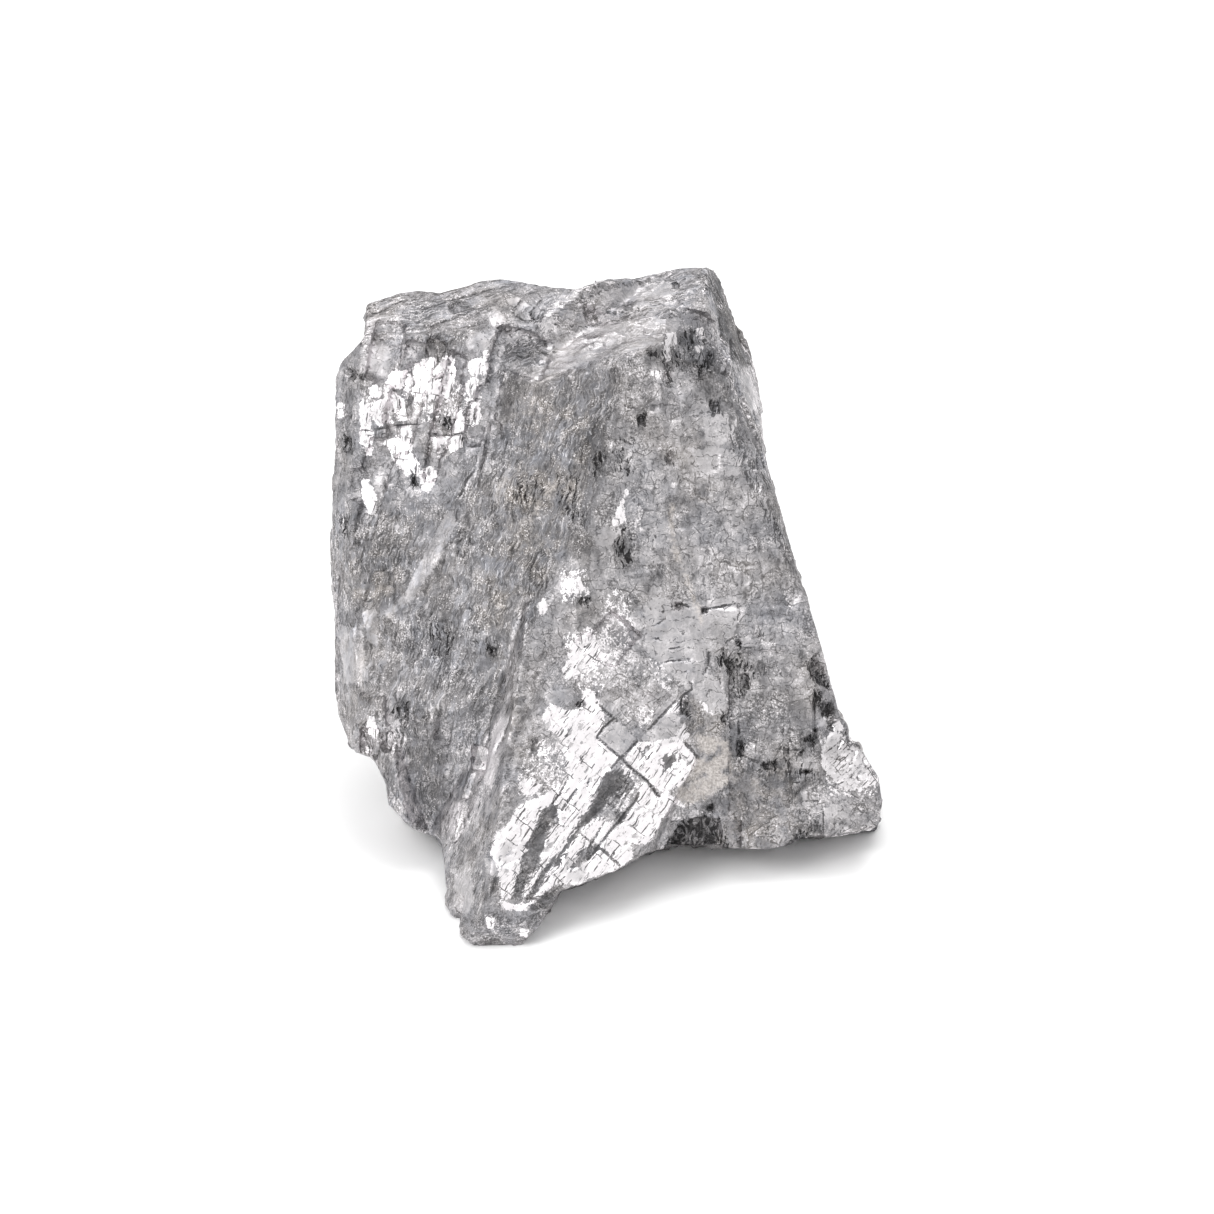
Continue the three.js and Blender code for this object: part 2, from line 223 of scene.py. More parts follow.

# Where mirror-bright flakes lie among dull ones; their brightness is painted reflection too.
BRIGHT_FLAKES = [
    [(520, 775), (528, 750), (545, 740), (566, 742), (572, 762), (560, 786), (540, 797),
     (520, 795)],
    [(566, 636), (590, 628), (608, 640), (612, 670), (600, 690), (583, 690), (570, 668)],
    [(602, 600), (618, 590), (632, 604), (630, 640), (616, 655), (604, 640)],
    [(646, 658), (658, 660), (672, 684), (668, 690), (652, 676)],
    [(640, 708), (652, 708), (652, 722), (640, 728)],
    [(626, 778), (634, 775), (641, 786), (636, 802), (620, 812), (614, 802)],
    [(822, 740), (850, 740), (880, 776), (874, 796), (830, 794)],
    [(396, 380), (480, 385), (478, 425), (420, 420)],
    [(560, 572), (586, 572), (588, 600), (562, 600)],
]

# Fair, smooth cleavage with a painted sheen, less bright than the mirror faces.
FAIR = [
    # the top facet
    [(526, 383), (545, 350), (570, 334), (610, 322), (640, 320), (680, 318), (676, 334),
     (645, 349), (590, 361), (560, 374), (540, 384)],
    [(600, 292), (650, 283), (684, 284), (672, 296), (640, 300), (604, 304)],
    # the shoulder
    [(486, 312), (503, 312), (507, 322), (492, 326)],
    [(464, 334), (478, 330), (492, 336), (486, 350), (468, 350)],
    [(368, 346), (388, 345), (392, 360), (385, 378), (369, 372)],
    [(507, 300), (520, 297), (530, 306), (516, 314)],
    [(536, 318), (552, 312), (556, 328), (540, 334)],
    # the left face
    [(452, 510), (456, 522), (440, 560), (425, 580), (412, 600), (388, 618), (383, 612),
     (403, 596), (412, 578), (428, 548), (442, 520)],
    [(508, 466), (512, 470), (497, 502), (491, 499)],
    [(362, 610), (377, 608), (378, 646), (368, 642)],
    [(337, 624), (362, 630), (368, 680), (345, 684)],
    [(496, 661), (492, 674), (472, 699), (476, 685)],
    [(375, 476), (384, 476), (384, 491), (374, 491)],
    # the ridge's left side
    [(509, 711), (518, 708), (517, 720), (511, 738), (500, 757), (491, 790), (484, 782),
     (489, 748), (495, 728)],
    [(517, 745), (520, 748), (515, 772), (511, 774)],
    [(527, 692), (531, 692), (530, 708), (526, 708)],
    [(453, 870), (470, 862), (474, 900), (466, 916), (455, 908)],
    [(484, 856), (497, 862), (498, 878), (486, 872)],
    # the ridge's cells
    [(598, 736), (604, 728), (617, 722), (627, 729), (636, 738), (623, 755), (610, 751)],
    [(650, 731), (664, 721), (668, 713), (676, 711), (682, 726), (676, 739), (657, 742),
     (640, 738)],
    [(544, 692), (572, 688), (574, 700), (560, 706), (546, 703)],
    # the pale lobe right of the ridge
    [(646, 602), (660, 597), (690, 602), (704, 606), (712, 598), (735, 597), (738, 618),
     (733, 636), (720, 648), (706, 652), (704, 672), (720, 682), (729, 705), (728, 713),
     (712, 714), (696, 698), (680, 682), (664, 668), (648, 654), (644, 630)],
    [(741, 636), (757, 634), (757, 646), (742, 647)],
    # the right face
    [(593, 534), (604, 527), (621, 530), (612, 545), (597, 548)],
    [(638, 553), (652, 552), (662, 560), (655, 566), (641, 564)],
    [(702, 414), (724, 410), (738, 432), (722, 446), (706, 440)],
    [(692, 450), (718, 446), (742, 458), (738, 476), (700, 474)],
    [(735, 365), (748, 362), (758, 400), (757, 420), (744, 404)],
    # the corner and the foot
    [(824, 808), (845, 801), (854, 806), (848, 817), (824, 819)],
    [(818, 719), (827, 719), (826, 727), (818, 726)],
    [(801, 759), (818, 758), (818, 769), (801, 770)],
]

# Dark bands and hollows, with the shade in them painted dark into the colour.
DARK = [
    # the ridge's bands
    [(541, 812), (554, 802), (559, 810), (557, 824), (551, 825), (545, 841), (545, 848),
     (538, 870), (526, 887), (522, 899), (511, 897), (516, 882), (523, 855), (530, 840),
     (535, 828)],
    [(619, 770), (629, 776), (622, 789), (610, 800), (603, 814), (592, 821), (581, 829),
     (573, 843), (563, 856), (563, 864), (556, 864), (557, 856), (569, 838), (580, 821),
     (590, 804), (597, 789), (607, 774)],
    [(588, 843), (583, 853), (574, 869), (570, 868), (581, 849)],
    [(596, 846), (590, 857), (586, 856), (592, 847)],
    [(552, 861), (554, 866), (542, 884), (529, 904), (526, 899), (546, 865)],
    [(617, 814), (625, 812), (627, 817), (619, 824)],
    [(560, 884), (563, 888), (553, 902), (537, 912), (532, 908), (545, 893)],
    # beside the ridge
    [(532, 741), (537, 739), (540, 746), (535, 756), (531, 750)],
    [(492, 880), (498, 882), (497, 893), (491, 895)],
    [(483, 892), (488, 892), (487, 902), (482, 900)],
    [(663, 757), (675, 752), (679, 758), (672, 768), (663, 774)],
    [(640, 748), (648, 746), (648, 759), (641, 760)],
    # the corner
    [(803, 778), (812, 778), (814, 786), (802, 790)],
    [(806, 826), (815, 822), (823, 828), (823, 838), (808, 839)],
    [(751, 672), (757, 662), (765, 660), (770, 668), (762, 673)],
    [(843, 730), (849, 734), (853, 739), (850, 745), (846, 742)],
    # the shoulder
    [(408, 398), (413, 398), (412, 418), (408, 416)],
]

# Where dark hollows lie among lighter flakes, the shade in the hollows painted dark.
DARK_FLECKS = [
    [(430, 338), (466, 334), (462, 346), (440, 356), (426, 354)],
    [(500, 345), (520, 342), (545, 343), (553, 352), (540, 364), (506, 370)],
    [(703, 352), (716, 352), (722, 380), (724, 412), (714, 414), (706, 395)],
    [(718, 300), (728, 303), (740, 330), (752, 362), (742, 368), (728, 345), (720, 325)],
    [(724, 410), (735, 418), (770, 492), (808, 590), (800, 586), (758, 500), (730, 436)],
    [(652, 564), (668, 566), (668, 582), (654, 582)],
    [(489, 580), (500, 582), (498, 604), (490, 602)],
    [(425, 590), (440, 588), (448, 612), (432, 616)],
    [(397, 712), (416, 712), (420, 752), (406, 756), (399, 740)],
    [(692, 704), (700, 708), (704, 735), (696, 744), (690, 725)],
    [(786, 750), (800, 750), (800, 812), (788, 800)],
    [(470, 642), (500, 640), (500, 660), (480, 672)],
    [(532, 556), (546, 556), (546, 592), (530, 590)],
    [(510, 540), (524, 540), (524, 554), (512, 554)],
    [(494, 504), (500, 504), (498, 520), (493, 520)],
]

# Where black gaps lie between the fibres, painted black for the shade in them.
GAPS = [
    [(612, 532), (630, 532), (636, 552), (626, 566), (616, 560)],
    [(590, 450), (608, 450), (607, 474), (593, 474)],
    [(616, 442), (631, 440), (631, 472), (617, 470)],
    [(516, 477), (543, 475), (542, 500), (518, 502)],
    [(557, 475), (579, 477), (578, 516), (560, 514)],
    [(428, 622), (450, 622), (450, 656), (430, 656)],
    [(396, 700), (408, 700), (408, 720), (398, 720)],
    [(724, 652), (738, 656), (752, 668), (752, 698), (738, 696), (732, 676)],
    [(786, 750), (800, 750), (802, 772), (788, 772)],
    [(651, 355), (668, 351), (690, 332), (706, 333), (711, 347), (706, 366), (690, 371),
     (665, 364)],
]

# Black pits and broken corners, painted near black for the shade in them.
PITS = [
    [(663, 362), (671, 360), (676, 368), (668, 374)],
    [(664, 372), (670, 372), (672, 384), (667, 385)],
    [(699, 366), (705, 365), (704, 379), (699, 380)],
    [(707, 354), (713, 352), (712, 368), (709, 370)],
    [(668, 452), (673, 452), (672, 464), (668, 464)],
    [(672, 281), (680, 281), (678, 288), (674, 288)],
    [(711, 402), (718, 402), (718, 413), (712, 413)],
    [(648, 350), (653, 350), (653, 356), (649, 356)],
    [(664, 851), (672, 838), (682, 821), (704, 817), (720, 821), (721, 838), (729, 848),
     (700, 852)],
    [(708, 804), (714, 804), (714, 812), (708, 812)],
    [(808, 661), (812, 657), (824, 668), (829, 683), (832, 689), (816, 683), (809, 670)],
    [(815, 689), (822, 692), (817, 701), (815, 710)],
    [(820, 702), (832, 703), (834, 714), (822, 717)],
    [(828, 719), (832, 719), (832, 727), (828, 727)],
    [(815, 728), (818, 742), (812, 747), (810, 742), (803, 741), (812, 734)],
    [(681, 703), (688, 697), (691, 716), (681, 714)],
    [(576, 702), (580, 699), (585, 700), (585, 707), (577, 706)],
    [(728, 657), (733, 657), (734, 671), (729, 672)],
    [(720, 657), (727, 657), (727, 664), (721, 664)],
    [(736, 640), (741, 641), (741, 646), (736, 645)],
    [(758, 634), (763, 634), (762, 638), (758, 638)],
    [(741, 673), (747, 674), (750, 690), (744, 688)],
    [(721, 716), (730, 714), (728, 724), (722, 721)],
    [(737, 741), (743, 741), (743, 756), (738, 757)],
    [(762, 764), (777, 761), (776, 768), (764, 770)],
    [(801, 770), (810, 770), (810, 773), (801, 773)],
    [(786, 841), (797, 838), (799, 828), (803, 829), (806, 841), (792, 848), (786, 846)],
    [(396, 703), (405, 704), (404, 712), (397, 711)],
    [(488, 646), (496, 646), (495, 656), (489, 655)],
    [(341, 518), (348, 519), (347, 533), (342, 532)],
    [(344, 436), (351, 438), (350, 452), (345, 451)],
    [(346, 369), (356, 370), (356, 378), (347, 378)],
    [(359, 374), (364, 374), (364, 379), (360, 379)],
    [(442, 418), (450, 416), (450, 430), (443, 429)],
    [(411, 474), (416, 477), (416, 487), (412, 485)],
    [(530, 312), (545, 314), (540, 321), (532, 319)],
    [(638, 415), (645, 416), (644, 425), (639, 424)],
    [(577, 598), (590, 598), (588, 604), (578, 603)],
    [(675, 603), (681, 603), (681, 608), (675, 608)],
    [(702, 608), (707, 609), (706, 613), (702, 613)],
]

# Cleavage cracks, painted dark for the shade in them, each with its width and the line it follows.
CRACKS = [
    # the rim at the right
    (1.6, [(719, 318), (722, 332), (727, 340)]),
    (2.0, [(738, 322), (742, 341)]),
    (1.8, [(731, 340), (733, 358)]),
    (1.5, [(754, 410), (757, 420)]),
    (1.8, [(757, 455), (759, 468)]),
    (1.8, [(762, 455), (765, 467)]),
    # across the ridge
    (2.4, [(597, 702), (603, 708), (617, 721)]),
    (2.6, [(676, 701), (661, 716), (649, 729)]),
    (2.2, [(637, 741), (630, 749), (618, 760), (611, 768)]),
    (2.5, [(597, 737), (620, 757), (632, 768), (648, 781), (660, 796)]),
    (2.0, [(597, 737), (603, 728), (616, 717)]),
    (1.4, [(627, 729), (637, 739)]),
    (1.4, [(650, 730), (656, 738)]),
    (3.0, [(686, 743), (698, 758)]),
    (3.0, [(600, 848), (607, 853), (619, 865)]),
    (1.6, [(580, 833), (592, 842)]),
    # along the ridge
    (2.2, [(553, 803), (560, 793), (565, 784), (569, 776)]),
    (2.6, [(577, 789), (571, 797), (562, 810)]),
    (1.8, [(590, 778), (587, 787)]),
    (2.0, [(604, 822), (593, 841), (590, 845)]),
    (2.6, [(639, 792), (637, 799), (624, 815), (608, 834), (600, 845), (588, 860)]),
    (1.4, [(629, 777), (616, 797), (609, 807)]),
    (1.4, [(632, 779), (619, 799), (612, 810)]),
    (1.2, [(635, 783), (623, 802), (615, 814)]),
    (1.4, [(616, 850), (612, 857)]),
    (1.2, [(509, 718), (502, 740), (497, 747), (495, 753)]),
    # the pale lobe
    (2.6, [(676, 605), (684, 604), (690, 607)]),
    (2.4, [(703, 610), (722, 606), (735, 604)]),
    (1.6, [(659, 610), (664, 612), (665, 618), (660, 623), (652, 626)]),
    (1.4, [(668, 612), (673, 609), (681, 608)]),
    (1.8, [(652, 639), (664, 637)]),
    (1.8, [(669, 649), (680, 647)]),
    (1.8, [(661, 663), (669, 661), (690, 659)]),
    (1.4, [(682, 673), (687, 671)]),
    (2.2, [(690, 682), (692, 689), (680, 698)]),
    (2.2, [(704, 674), (708, 665), (710, 655), (707, 650)]),
    (1.4, [(725, 643), (730, 639), (735, 638)]),
    (1.6, [(736, 604), (740, 611), (737, 620)]),
    # the corner
    (1.6, [(731, 675), (731, 700), (730, 714)]),
    (1.6, [(738, 720), (739, 740)]),
    (1.8, [(782, 722), (783, 730), (785, 740)]),
    (1.8, [(783, 744), (780, 750)]),
    (2.4, [(742, 755), (757, 762), (765, 767)]),
    (1.8, [(790, 752), (790, 768)]),
    (2.0, [(784, 765), (787, 775)]),
    (2.0, [(800, 777), (790, 778), (791, 788), (797, 794)]),
    (1.6, [(792, 782), (799, 783)]),
    (1.6, [(816, 686), (815, 710), (816, 730)]),
    (1.6, [(823, 812), (823, 838)]),
    (1.4, [(800, 803), (808, 800), (818, 801)]),
    (1.2, [(740, 648), (752, 648), (757, 652)]),
    (1.2, [(720, 678), (721, 688)]),
    (1.4, [(836, 726), (841, 740), (836, 752), (842, 762)]),
    (1.3, [(846, 748), (855, 752), (851, 762), (860, 770), (858, 778)]),
    (1.3, [(826, 752), (836, 760), (845, 757), (850, 766)]),
    (1.2, [(834, 772), (844, 770), (852, 778), (866, 782)]),
    (1.2, [(862, 758), (866, 766), (862, 774)]),
    # the left face and the shoulder
    (2.4, [(476, 455), (475, 470), (465, 482), (461, 495)]),
    (1.4, [(396, 425), (414, 424), (425, 425)]),
    (1.4, [(384, 392), (412, 391)]),
    (1.4, [(430, 434), (450, 435), (468, 432)]),
    (1.4, [(361, 430), (372, 431), (392, 426)]),
    (1.8, [(413, 362), (412, 372), (414, 386)]),
    (2.0, [(437, 357), (438, 364), (432, 370)]),
    (1.6, [(399, 398), (401, 411)]),
    (1.6, [(475, 408), (474, 420)]),
    (1.4, [(384, 480), (385, 491)]),
    (1.2, [(418, 310), (452, 300), (492, 288)]),
    (1.2, [(430, 326), (452, 318), (470, 312)]),
    (1.2, [(378, 312), (402, 300)]),
    (1.6, [(497, 326), (507, 332), (520, 330)]),
    (1.6, [(520, 300), (512, 312), (528, 322)]),
    (1.4, [(540, 300), (530, 312)]),
]

# Pale gangue between the crystals, as an outline and as veins with their widths.
GANGUE = [
    [(697, 733), (715, 738), (729, 742), (732, 766), (729, 782), (706, 798), (686, 804),
     (676, 796), (680, 784), (693, 770), (698, 756)],
]
VEINS = [
    (4.0, [(672, 505), (670, 520), (674, 545), (678, 560)]),
    (5.0, [(694, 598), (697, 608), (701, 622)]),
    (3.0, [(680, 560), (688, 580), (693, 598)]),
    (3.0, [(555, 485), (540, 500), (532, 520)]),
]

# Brown weathering.
WARM = [
    [(520, 400), (590, 400), (600, 440), (560, 560), (520, 620), (480, 640), (470, 580),
     (500, 500)],
    [(686, 698), (722, 712), (722, 740), (694, 744)],
    [(340, 540), (400, 540), (400, 600), (350, 600)],
    [(700, 488), (710, 488), (708, 504), (699, 504)],
    [(660, 640), (640, 620), (650, 600), (670, 620)],
    [(575, 300), (600, 298), (598, 316), (577, 316)],
    [(730, 760), (800, 770), (800, 845), (720, 845)],
]

# Painted light and shade, laid softly into the tone: how many times lighter, how wide the edge is
# on each side in points, and the outline.
SHADES = [
    # the rim at the right
    (0.4, 2, [
        (712, 280), (722, 278), (726, 300), (732, 318), (740, 335), (748, 360), (745, 368),
        (735, 362), (731, 345), (724, 330), (718, 305), (711, 290)]),
    (1.6, 2, [
        (727, 298), (736, 312), (746, 340), (755, 372), (762, 400), (766, 440), (768, 462),
        (762, 455), (756, 425), (752, 395), (748, 368), (742, 335), (734, 316)]),
    (1.25, 3, [
        (703, 290), (712, 300), (718, 320), (724, 345), (730, 372), (745, 400), (750, 425),
        (742, 410), (728, 380), (716, 345), (706, 315)]),
    # under the broken corner, and down the middle of the right face
    (0.66, 6, [
        (648, 348), (672, 338), (690, 328), (708, 326), (716, 345), (724, 372), (737, 412),
        (718, 412), (700, 392), (682, 368), (652, 364)]),
    (0.72, 5, [(585, 418), (604, 416), (606, 440), (612, 470), (596, 476), (587, 444)]),
    (0.84, 6, [
        (512, 500), (536, 478), (552, 484), (540, 520), (556, 540), (548, 590), (532, 588),
        (528, 548), (514, 530)]),
    (0.8, 5, [
        (600, 560), (616, 538), (632, 536), (630, 556), (660, 566), (672, 580), (656, 592),
        (628, 574)]),
    (0.75, 6, [(656, 430), (674, 430), (676, 462), (658, 460)]),
    (1.25, 6, [(718, 430), (738, 430), (775, 500), (790, 560), (772, 540), (750, 478)]),
    (0.72, 5, [(774, 560), (797, 562), (810, 602), (784, 592)]),
    (1.25, 6, [(636, 462), (658, 462), (662, 500), (660, 545), (640, 548), (638, 500)]),
    (0.88, 6, [(672, 500), (704, 500), (702, 532), (674, 530)]),
    (1.15, 6, [(722, 504), (744, 504), (744, 524), (722, 524)]),
    (1.2, 5, [(640, 366), (656, 366), (656, 394), (642, 394)]),
    (0.85, 5, [(665, 364), (680, 364), (688, 396), (672, 396)]),
    (0.85, 5, [(622, 378), (637, 378), (637, 398), (624, 398)]),
    (1.15, 6, [(650, 300), (700, 300), (696, 318), (652, 318)]),
    (0.8, 4, [(534, 342), (554, 336), (556, 350), (536, 358)]),
    (1.25, 6, [(608, 604), (624, 604), (648, 640), (650, 668), (634, 650), (612, 626)]),
    (1.25, 6, [(626, 700), (650, 700), (650, 732), (628, 732)]),
    (0.72, 5, [(654, 724), (690, 718), (694, 740), (660, 748)]),
    (1.2, 5, [(722, 712), (746, 712), (746, 736), (724, 736)]),
    (0.85, 5, [(816, 738), (832, 738), (836, 780), (820, 776)]),
    (1.15, 5, [(858, 776), (882, 776), (882, 804), (860, 804)]),
    (0.8, 4, [(486, 842), (510, 842), (506, 880), (490, 880)]),
    (1.08, 8, [(710, 480), (750, 480), (790, 560), (716, 560)]),
    (1.15, 6, [(676, 466), (702, 466), (702, 488), (678, 488)]),
    (1.15, 6, [(606, 366), (626, 366), (624, 388), (606, 388)]),
    (1.08, 10, [(640, 636), (730, 640), (724, 696), (660, 680)]),
    (0.85, 6, [(476, 476), (494, 476), (492, 515), (478, 515)]),
    (0.75, 5, [(822, 736), (866, 742), (864, 760), (824, 756)]),
    (0.85, 4, [(842, 784), (872, 784), (872, 797), (844, 797)]),
    (0.5, 4, [(532, 840), (548, 840), (544, 866), (532, 866)]),
    (0.65, 4, [(566, 858), (592, 858), (586, 884), (566, 884)]),
    (0.7, 5, [(500, 840), (528, 838), (522, 870), (504, 872)]),
    (1.3, 4, [
        (519, 600), (527, 600), (520, 660), (513, 706), (504, 750), (490, 750), (497, 700),
        (507, 655)]),
    (1.4, 5, [(374, 708), (388, 704), (390, 738), (378, 740)]),
    (0.78, 4, [(376, 748), (392, 742), (400, 775), (386, 784)]),
    (0.85, 4, [(694, 446), (720, 444), (722, 476), (700, 474)]),
    (1.3, 5, [(745, 450), (766, 450), (772, 484), (756, 484)]),
    (0.85, 5, [(588, 505), (614, 505), (614, 545), (590, 545)]),
    (0.85, 5, [(540, 505), (562, 505), (560, 532), (540, 532)]),
    (0.8, 4, [(370, 350), (388, 350), (388, 370), (372, 370)]),
    (1.4, 4, [(366, 328), (384, 328), (384, 343), (366, 343)]),
    (0.8, 5, [(556, 600), (606, 595), (606, 645), (560, 650)]),
    (1.16, 10, [(735, 595), (800, 595), (812, 640), (780, 690), (740, 680)]),
    (0.8, 6, [(764, 684), (790, 684), (796, 724), (768, 722)]),
    (0.75, 6, [(632, 410), (648, 412), (646, 436), (634, 432)]),
    (0.8, 8, [(700, 480), (712, 490), (706, 510), (694, 500)]),
    (1.2, 10, [(720, 545), (752, 548), (760, 580), (725, 585)]),
    (0.86, 12, [(548, 372), (600, 382), (604, 480), (600, 560), (562, 560), (545, 480)]),
    (1.35, 7, [
        (566, 655), (580, 632), (606, 614), (626, 610), (640, 634), (640, 655), (624, 690),
        (600, 684), (574, 680)]),
    (1.7, 5, [(700, 556), (714, 558), (717, 600), (704, 604), (699, 580)]),
    (0.75, 5, [(524, 556), (544, 548), (546, 566), (530, 572)]),
    (0.75, 5, [(564, 544), (590, 538), (600, 556), (584, 556), (570, 556)]),
    # the left face and its margin
    (0.65, 4, [(434, 592), (446, 590), (450, 625), (444, 660), (434, 656)]),
    (0.78, 10, [(362, 545), (388, 528), (412, 540), (412, 575), (380, 590), (362, 580)]),
    (0.72, 6, [(478, 655), (494, 640), (506, 655), (498, 700), (486, 722), (476, 700)]),
    (0.85, 12, [
        (486, 350), (500, 420), (490, 480), (520, 470), (560, 420), (600, 380), (560, 372),
        (520, 380)]),
    (0.82, 6, [(340, 618), (352, 610), (366, 640), (368, 680), (352, 690), (344, 660)]),
    (0.55, 10, [(412, 738), (440, 730), (450, 770), (447, 822), (426, 820), (410, 790)]),
    (1.8, 5, [
        (384, 700), (392, 700), (400, 738), (412, 790), (424, 818), (414, 818), (398, 780),
        (386, 740)]),
    (1.4, 3, [(524, 596), (531, 596), (520, 650), (510, 690), (500, 692), (510, 650)]),
    (0.85, 5, [(558, 598), (574, 598), (572, 642), (560, 642)]),
    (0.85, 6, [(522, 650), (545, 650), (540, 700), (520, 698)]),
    (0.7, 5, [(500, 616), (516, 616), (516, 638), (500, 638)]),
    (1.15, 8, [(498, 392), (520, 392), (520, 410), (498, 410)]),
    (1.15, 4, [(326, 470), (346, 470), (346, 700), (332, 700)]),
    (1.2, 6, [(346, 655), (390, 655), (390, 690), (350, 700)]),
    (0.5, 6, [(416, 688), (434, 688), (434, 710), (416, 710)]),
    (1.4, 5, [(430, 404), (448, 404), (466, 420), (464, 438), (440, 438), (430, 432)]),
    (1.3, 4, [(470, 372), (486, 372), (486, 396), (470, 398)]),
    (0.68, 6, [(376, 592), (402, 590), (404, 612), (380, 616)]),
    (0.85, 8, [(496, 545), (535, 545), (540, 580), (500, 580)]),
    (1.35, 6, [(350, 730), (372, 728), (376, 750), (362, 752)]),
    (0.85, 6, [(456, 712), (500, 688), (508, 705), (482, 742), (460, 744)]),
    (1.6, 3, [(365, 318), (403, 318), (403, 327), (376, 327), (376, 374), (365, 374)]),
    (1.3, 5, [(364, 346), (374, 346), (372, 378), (362, 374)]),
    (0.85, 5, [(542, 294), (562, 290), (562, 312), (544, 312)]),
    (0.85, 5, [(500, 306), (516, 306), (516, 322), (502, 322)]),
    (0.85, 5, [(430, 302), (448, 300), (448, 318), (432, 320)]),
    (1.5, 3, [
        (495, 322), (505, 322), (500, 350), (496, 430), (484, 470), (466, 497), (458, 494),
        (474, 467), (486, 430), (492, 380)]),
    (1.3, 6, [(396, 328), (420, 326), (422, 352), (412, 372), (400, 368)]),
    # the top facet, and where the shoulder meets it
    (0.9, 5, [
        (580, 334), (640, 322), (682, 318), (690, 332), (640, 352), (590, 362), (545, 372),
        (536, 358), (556, 342)]),
    (1.4, 6, [(562, 332), (574, 304), (600, 296), (612, 310), (590, 326), (568, 340)]),
    (0.85, 5, [(622, 290), (680, 284), (684, 296), (640, 302), (624, 300)]),
    (1.15, 5, [(540, 300), (572, 284), (582, 290), (560, 330), (530, 350), (520, 340)]),
    (1.2, 5, [(500, 320), (560, 318), (560, 350), (505, 350)]),
    (1.3, 5, [(512, 320), (534, 320), (534, 342), (514, 340)]),
    (0.75, 5, [(470, 325), (496, 322), (498, 345), (476, 350)]),
    (0.62, 6, [(492, 296), (524, 298), (526, 320), (500, 324)]),
    (0.95, 6, [(574, 292), (596, 290), (598, 316), (580, 320)]),
    # the ridge, the corner and the foot
    (0.7, 4, [(700, 796), (722, 792), (722, 813), (702, 813)]),
    (1.3, 6, [(666, 800), (682, 804), (680, 826), (664, 828)]),
    (0.85, 10, [(505, 745), (540, 735), (545, 780), (520, 820), (505, 805)]),
    (1.75, 6, [
        (500, 718), (510, 720), (498, 760), (486, 804), (464, 836), (442, 830), (442, 800),
        (466, 800), (478, 750)]),
    (0.5, 6, [(470, 708), (484, 706), (480, 732), (468, 736)]),
    (0.75, 5, [(508, 704), (524, 690), (532, 700), (524, 745), (514, 750), (508, 725)]),
    (0.7, 5, [(560, 672), (580, 690), (582, 710), (562, 712), (545, 700)]),
    (0.75, 5, [(680, 690), (692, 688), (698, 712), (690, 722), (682, 710)]),
    (0.9, 5, [(728, 650), (748, 656), (752, 690), (738, 700), (728, 680)]),
    (0.75, 6, [(764, 738), (790, 740), (792, 775), (768, 772)]),
    (0.88, 6, [(730, 765), (790, 770), (800, 845), (728, 845)]),
    (1.25, 3, [(442, 770), (452, 760), (462, 800), (460, 860), (443, 870)]),
    (1.4, 5, [(706, 814), (738, 812), (744, 842), (722, 846)]),
    (1.4, 8, [(808, 794), (878, 786), (882, 832), (808, 840)]),
    (1.12, 6, [(735, 800), (800, 800), (800, 850), (735, 850)]),
]

# ---- Small sums over many places at once --------------------------------------------------


def hashed(cells, seed):
    """A repeatable number from 0 to 1 for each whole-number cell."""
    k = cells.astype(np.int64) @ np.array((73856093, 19349663, 83492791)) + seed * 2654435761
    k = (k ^ (k >> 13)) * 1274126177 & 0xFFFFFFFF
    k = (k ^ (k >> 16)) * 2246822519 & 0xFFFFFFFF
    return ((k ^ (k >> 15)) & 0xFFFFFF) / 0xFFFFFF


def waves(co, size, seed):
    """Smooth noise from -1 to 1, with swells of that size."""
    at = co / size
    low = np.floor(at)
    t = at - low
    t = t * t * (3 - 2 * t)
    total = np.zeros(len(co))
    for corner in np.ndindex(2, 2, 2):
        weight = np.prod(np.where(corner, t, 1 - t), axis=1)
        total += weight * hashed(low + np.array(corner), seed)
    return total * 2 - 1


def inside(spots, outline):
    """Whether each spot on the picture plane is inside an outline."""
    x, y = spots.T
    within = np.zeros(len(spots), bool)
    for (x0, y0), (x1, y1) in zip(outline, outline[1:] + outline[:1]):
        if y0 != y1:
            crosses = (y0 > y) != (y1 > y)
            within ^= crosses & (x < (x1 - x0) * (y - y0) / (y1 - y0) + x0)
    return within


def from_line(spots, line):
    """How far each spot is from a line of corners."""
    best = np.full(len(spots), np.inf)
    for start, end in zip(line, line[1:]):
        a, run = np.array(start, float), np.array(end, float) - np.array(start)
        t = np.clip((spots - a) @ run / (run @ run), 0, 1)
        best = np.minimum(best, np.linalg.norm(spots - a - t[:, None] * run, axis=1))
    return best


def close_to(spots, corners, reach):
    """Which spots are within reach of the corners' bounding box."""
    low, high = np.min(corners, axis=0) - reach, np.max(corners, axis=0) + reach
    return np.all((spots > low) & (spots < high), axis=1)


def depth_within(spots, outlines, reach):
    """How deep each spot lies inside the outlines, in points: below zero outside them."""
    depth = np.full(len(spots), -float(reach))
    for outline in outlines:
        near = close_to(spots, outline, reach)
        gap = from_line(spots[near], outline + outline[:1])
        signed = np.where(inside(spots[near], outline), gap, -gap)
        depth[near] = np.maximum(depth[near], signed)
    return np.clip(depth, -reach, reach)


def depth_of_lines(spots, lines, reach):
    """How deep each spot lies inside lines that have a width, in points."""
    depth = np.full(len(spots), -float(reach))
    for width, line in lines:
        near = close_to(spots, line, reach)
        depth[near] = np.maximum(depth[near], width / 2 - from_line(spots[near], line))
    return depth


def soft_within(spots, outline, edge):
    """From 0 outside an outline to 1 inside it, over an edge this wide on both sides."""
    t = depth_within(spots, [outline], edge) / edge / 2 + 0.5
    return t * t * (3 - 2 * t)


def unit(rows):
    return rows / np.maximum(np.linalg.norm(rows, axis=-1, keepdims=True), 1e-12)


# ---- The lump's mesh ----------------------------------------------------------------------

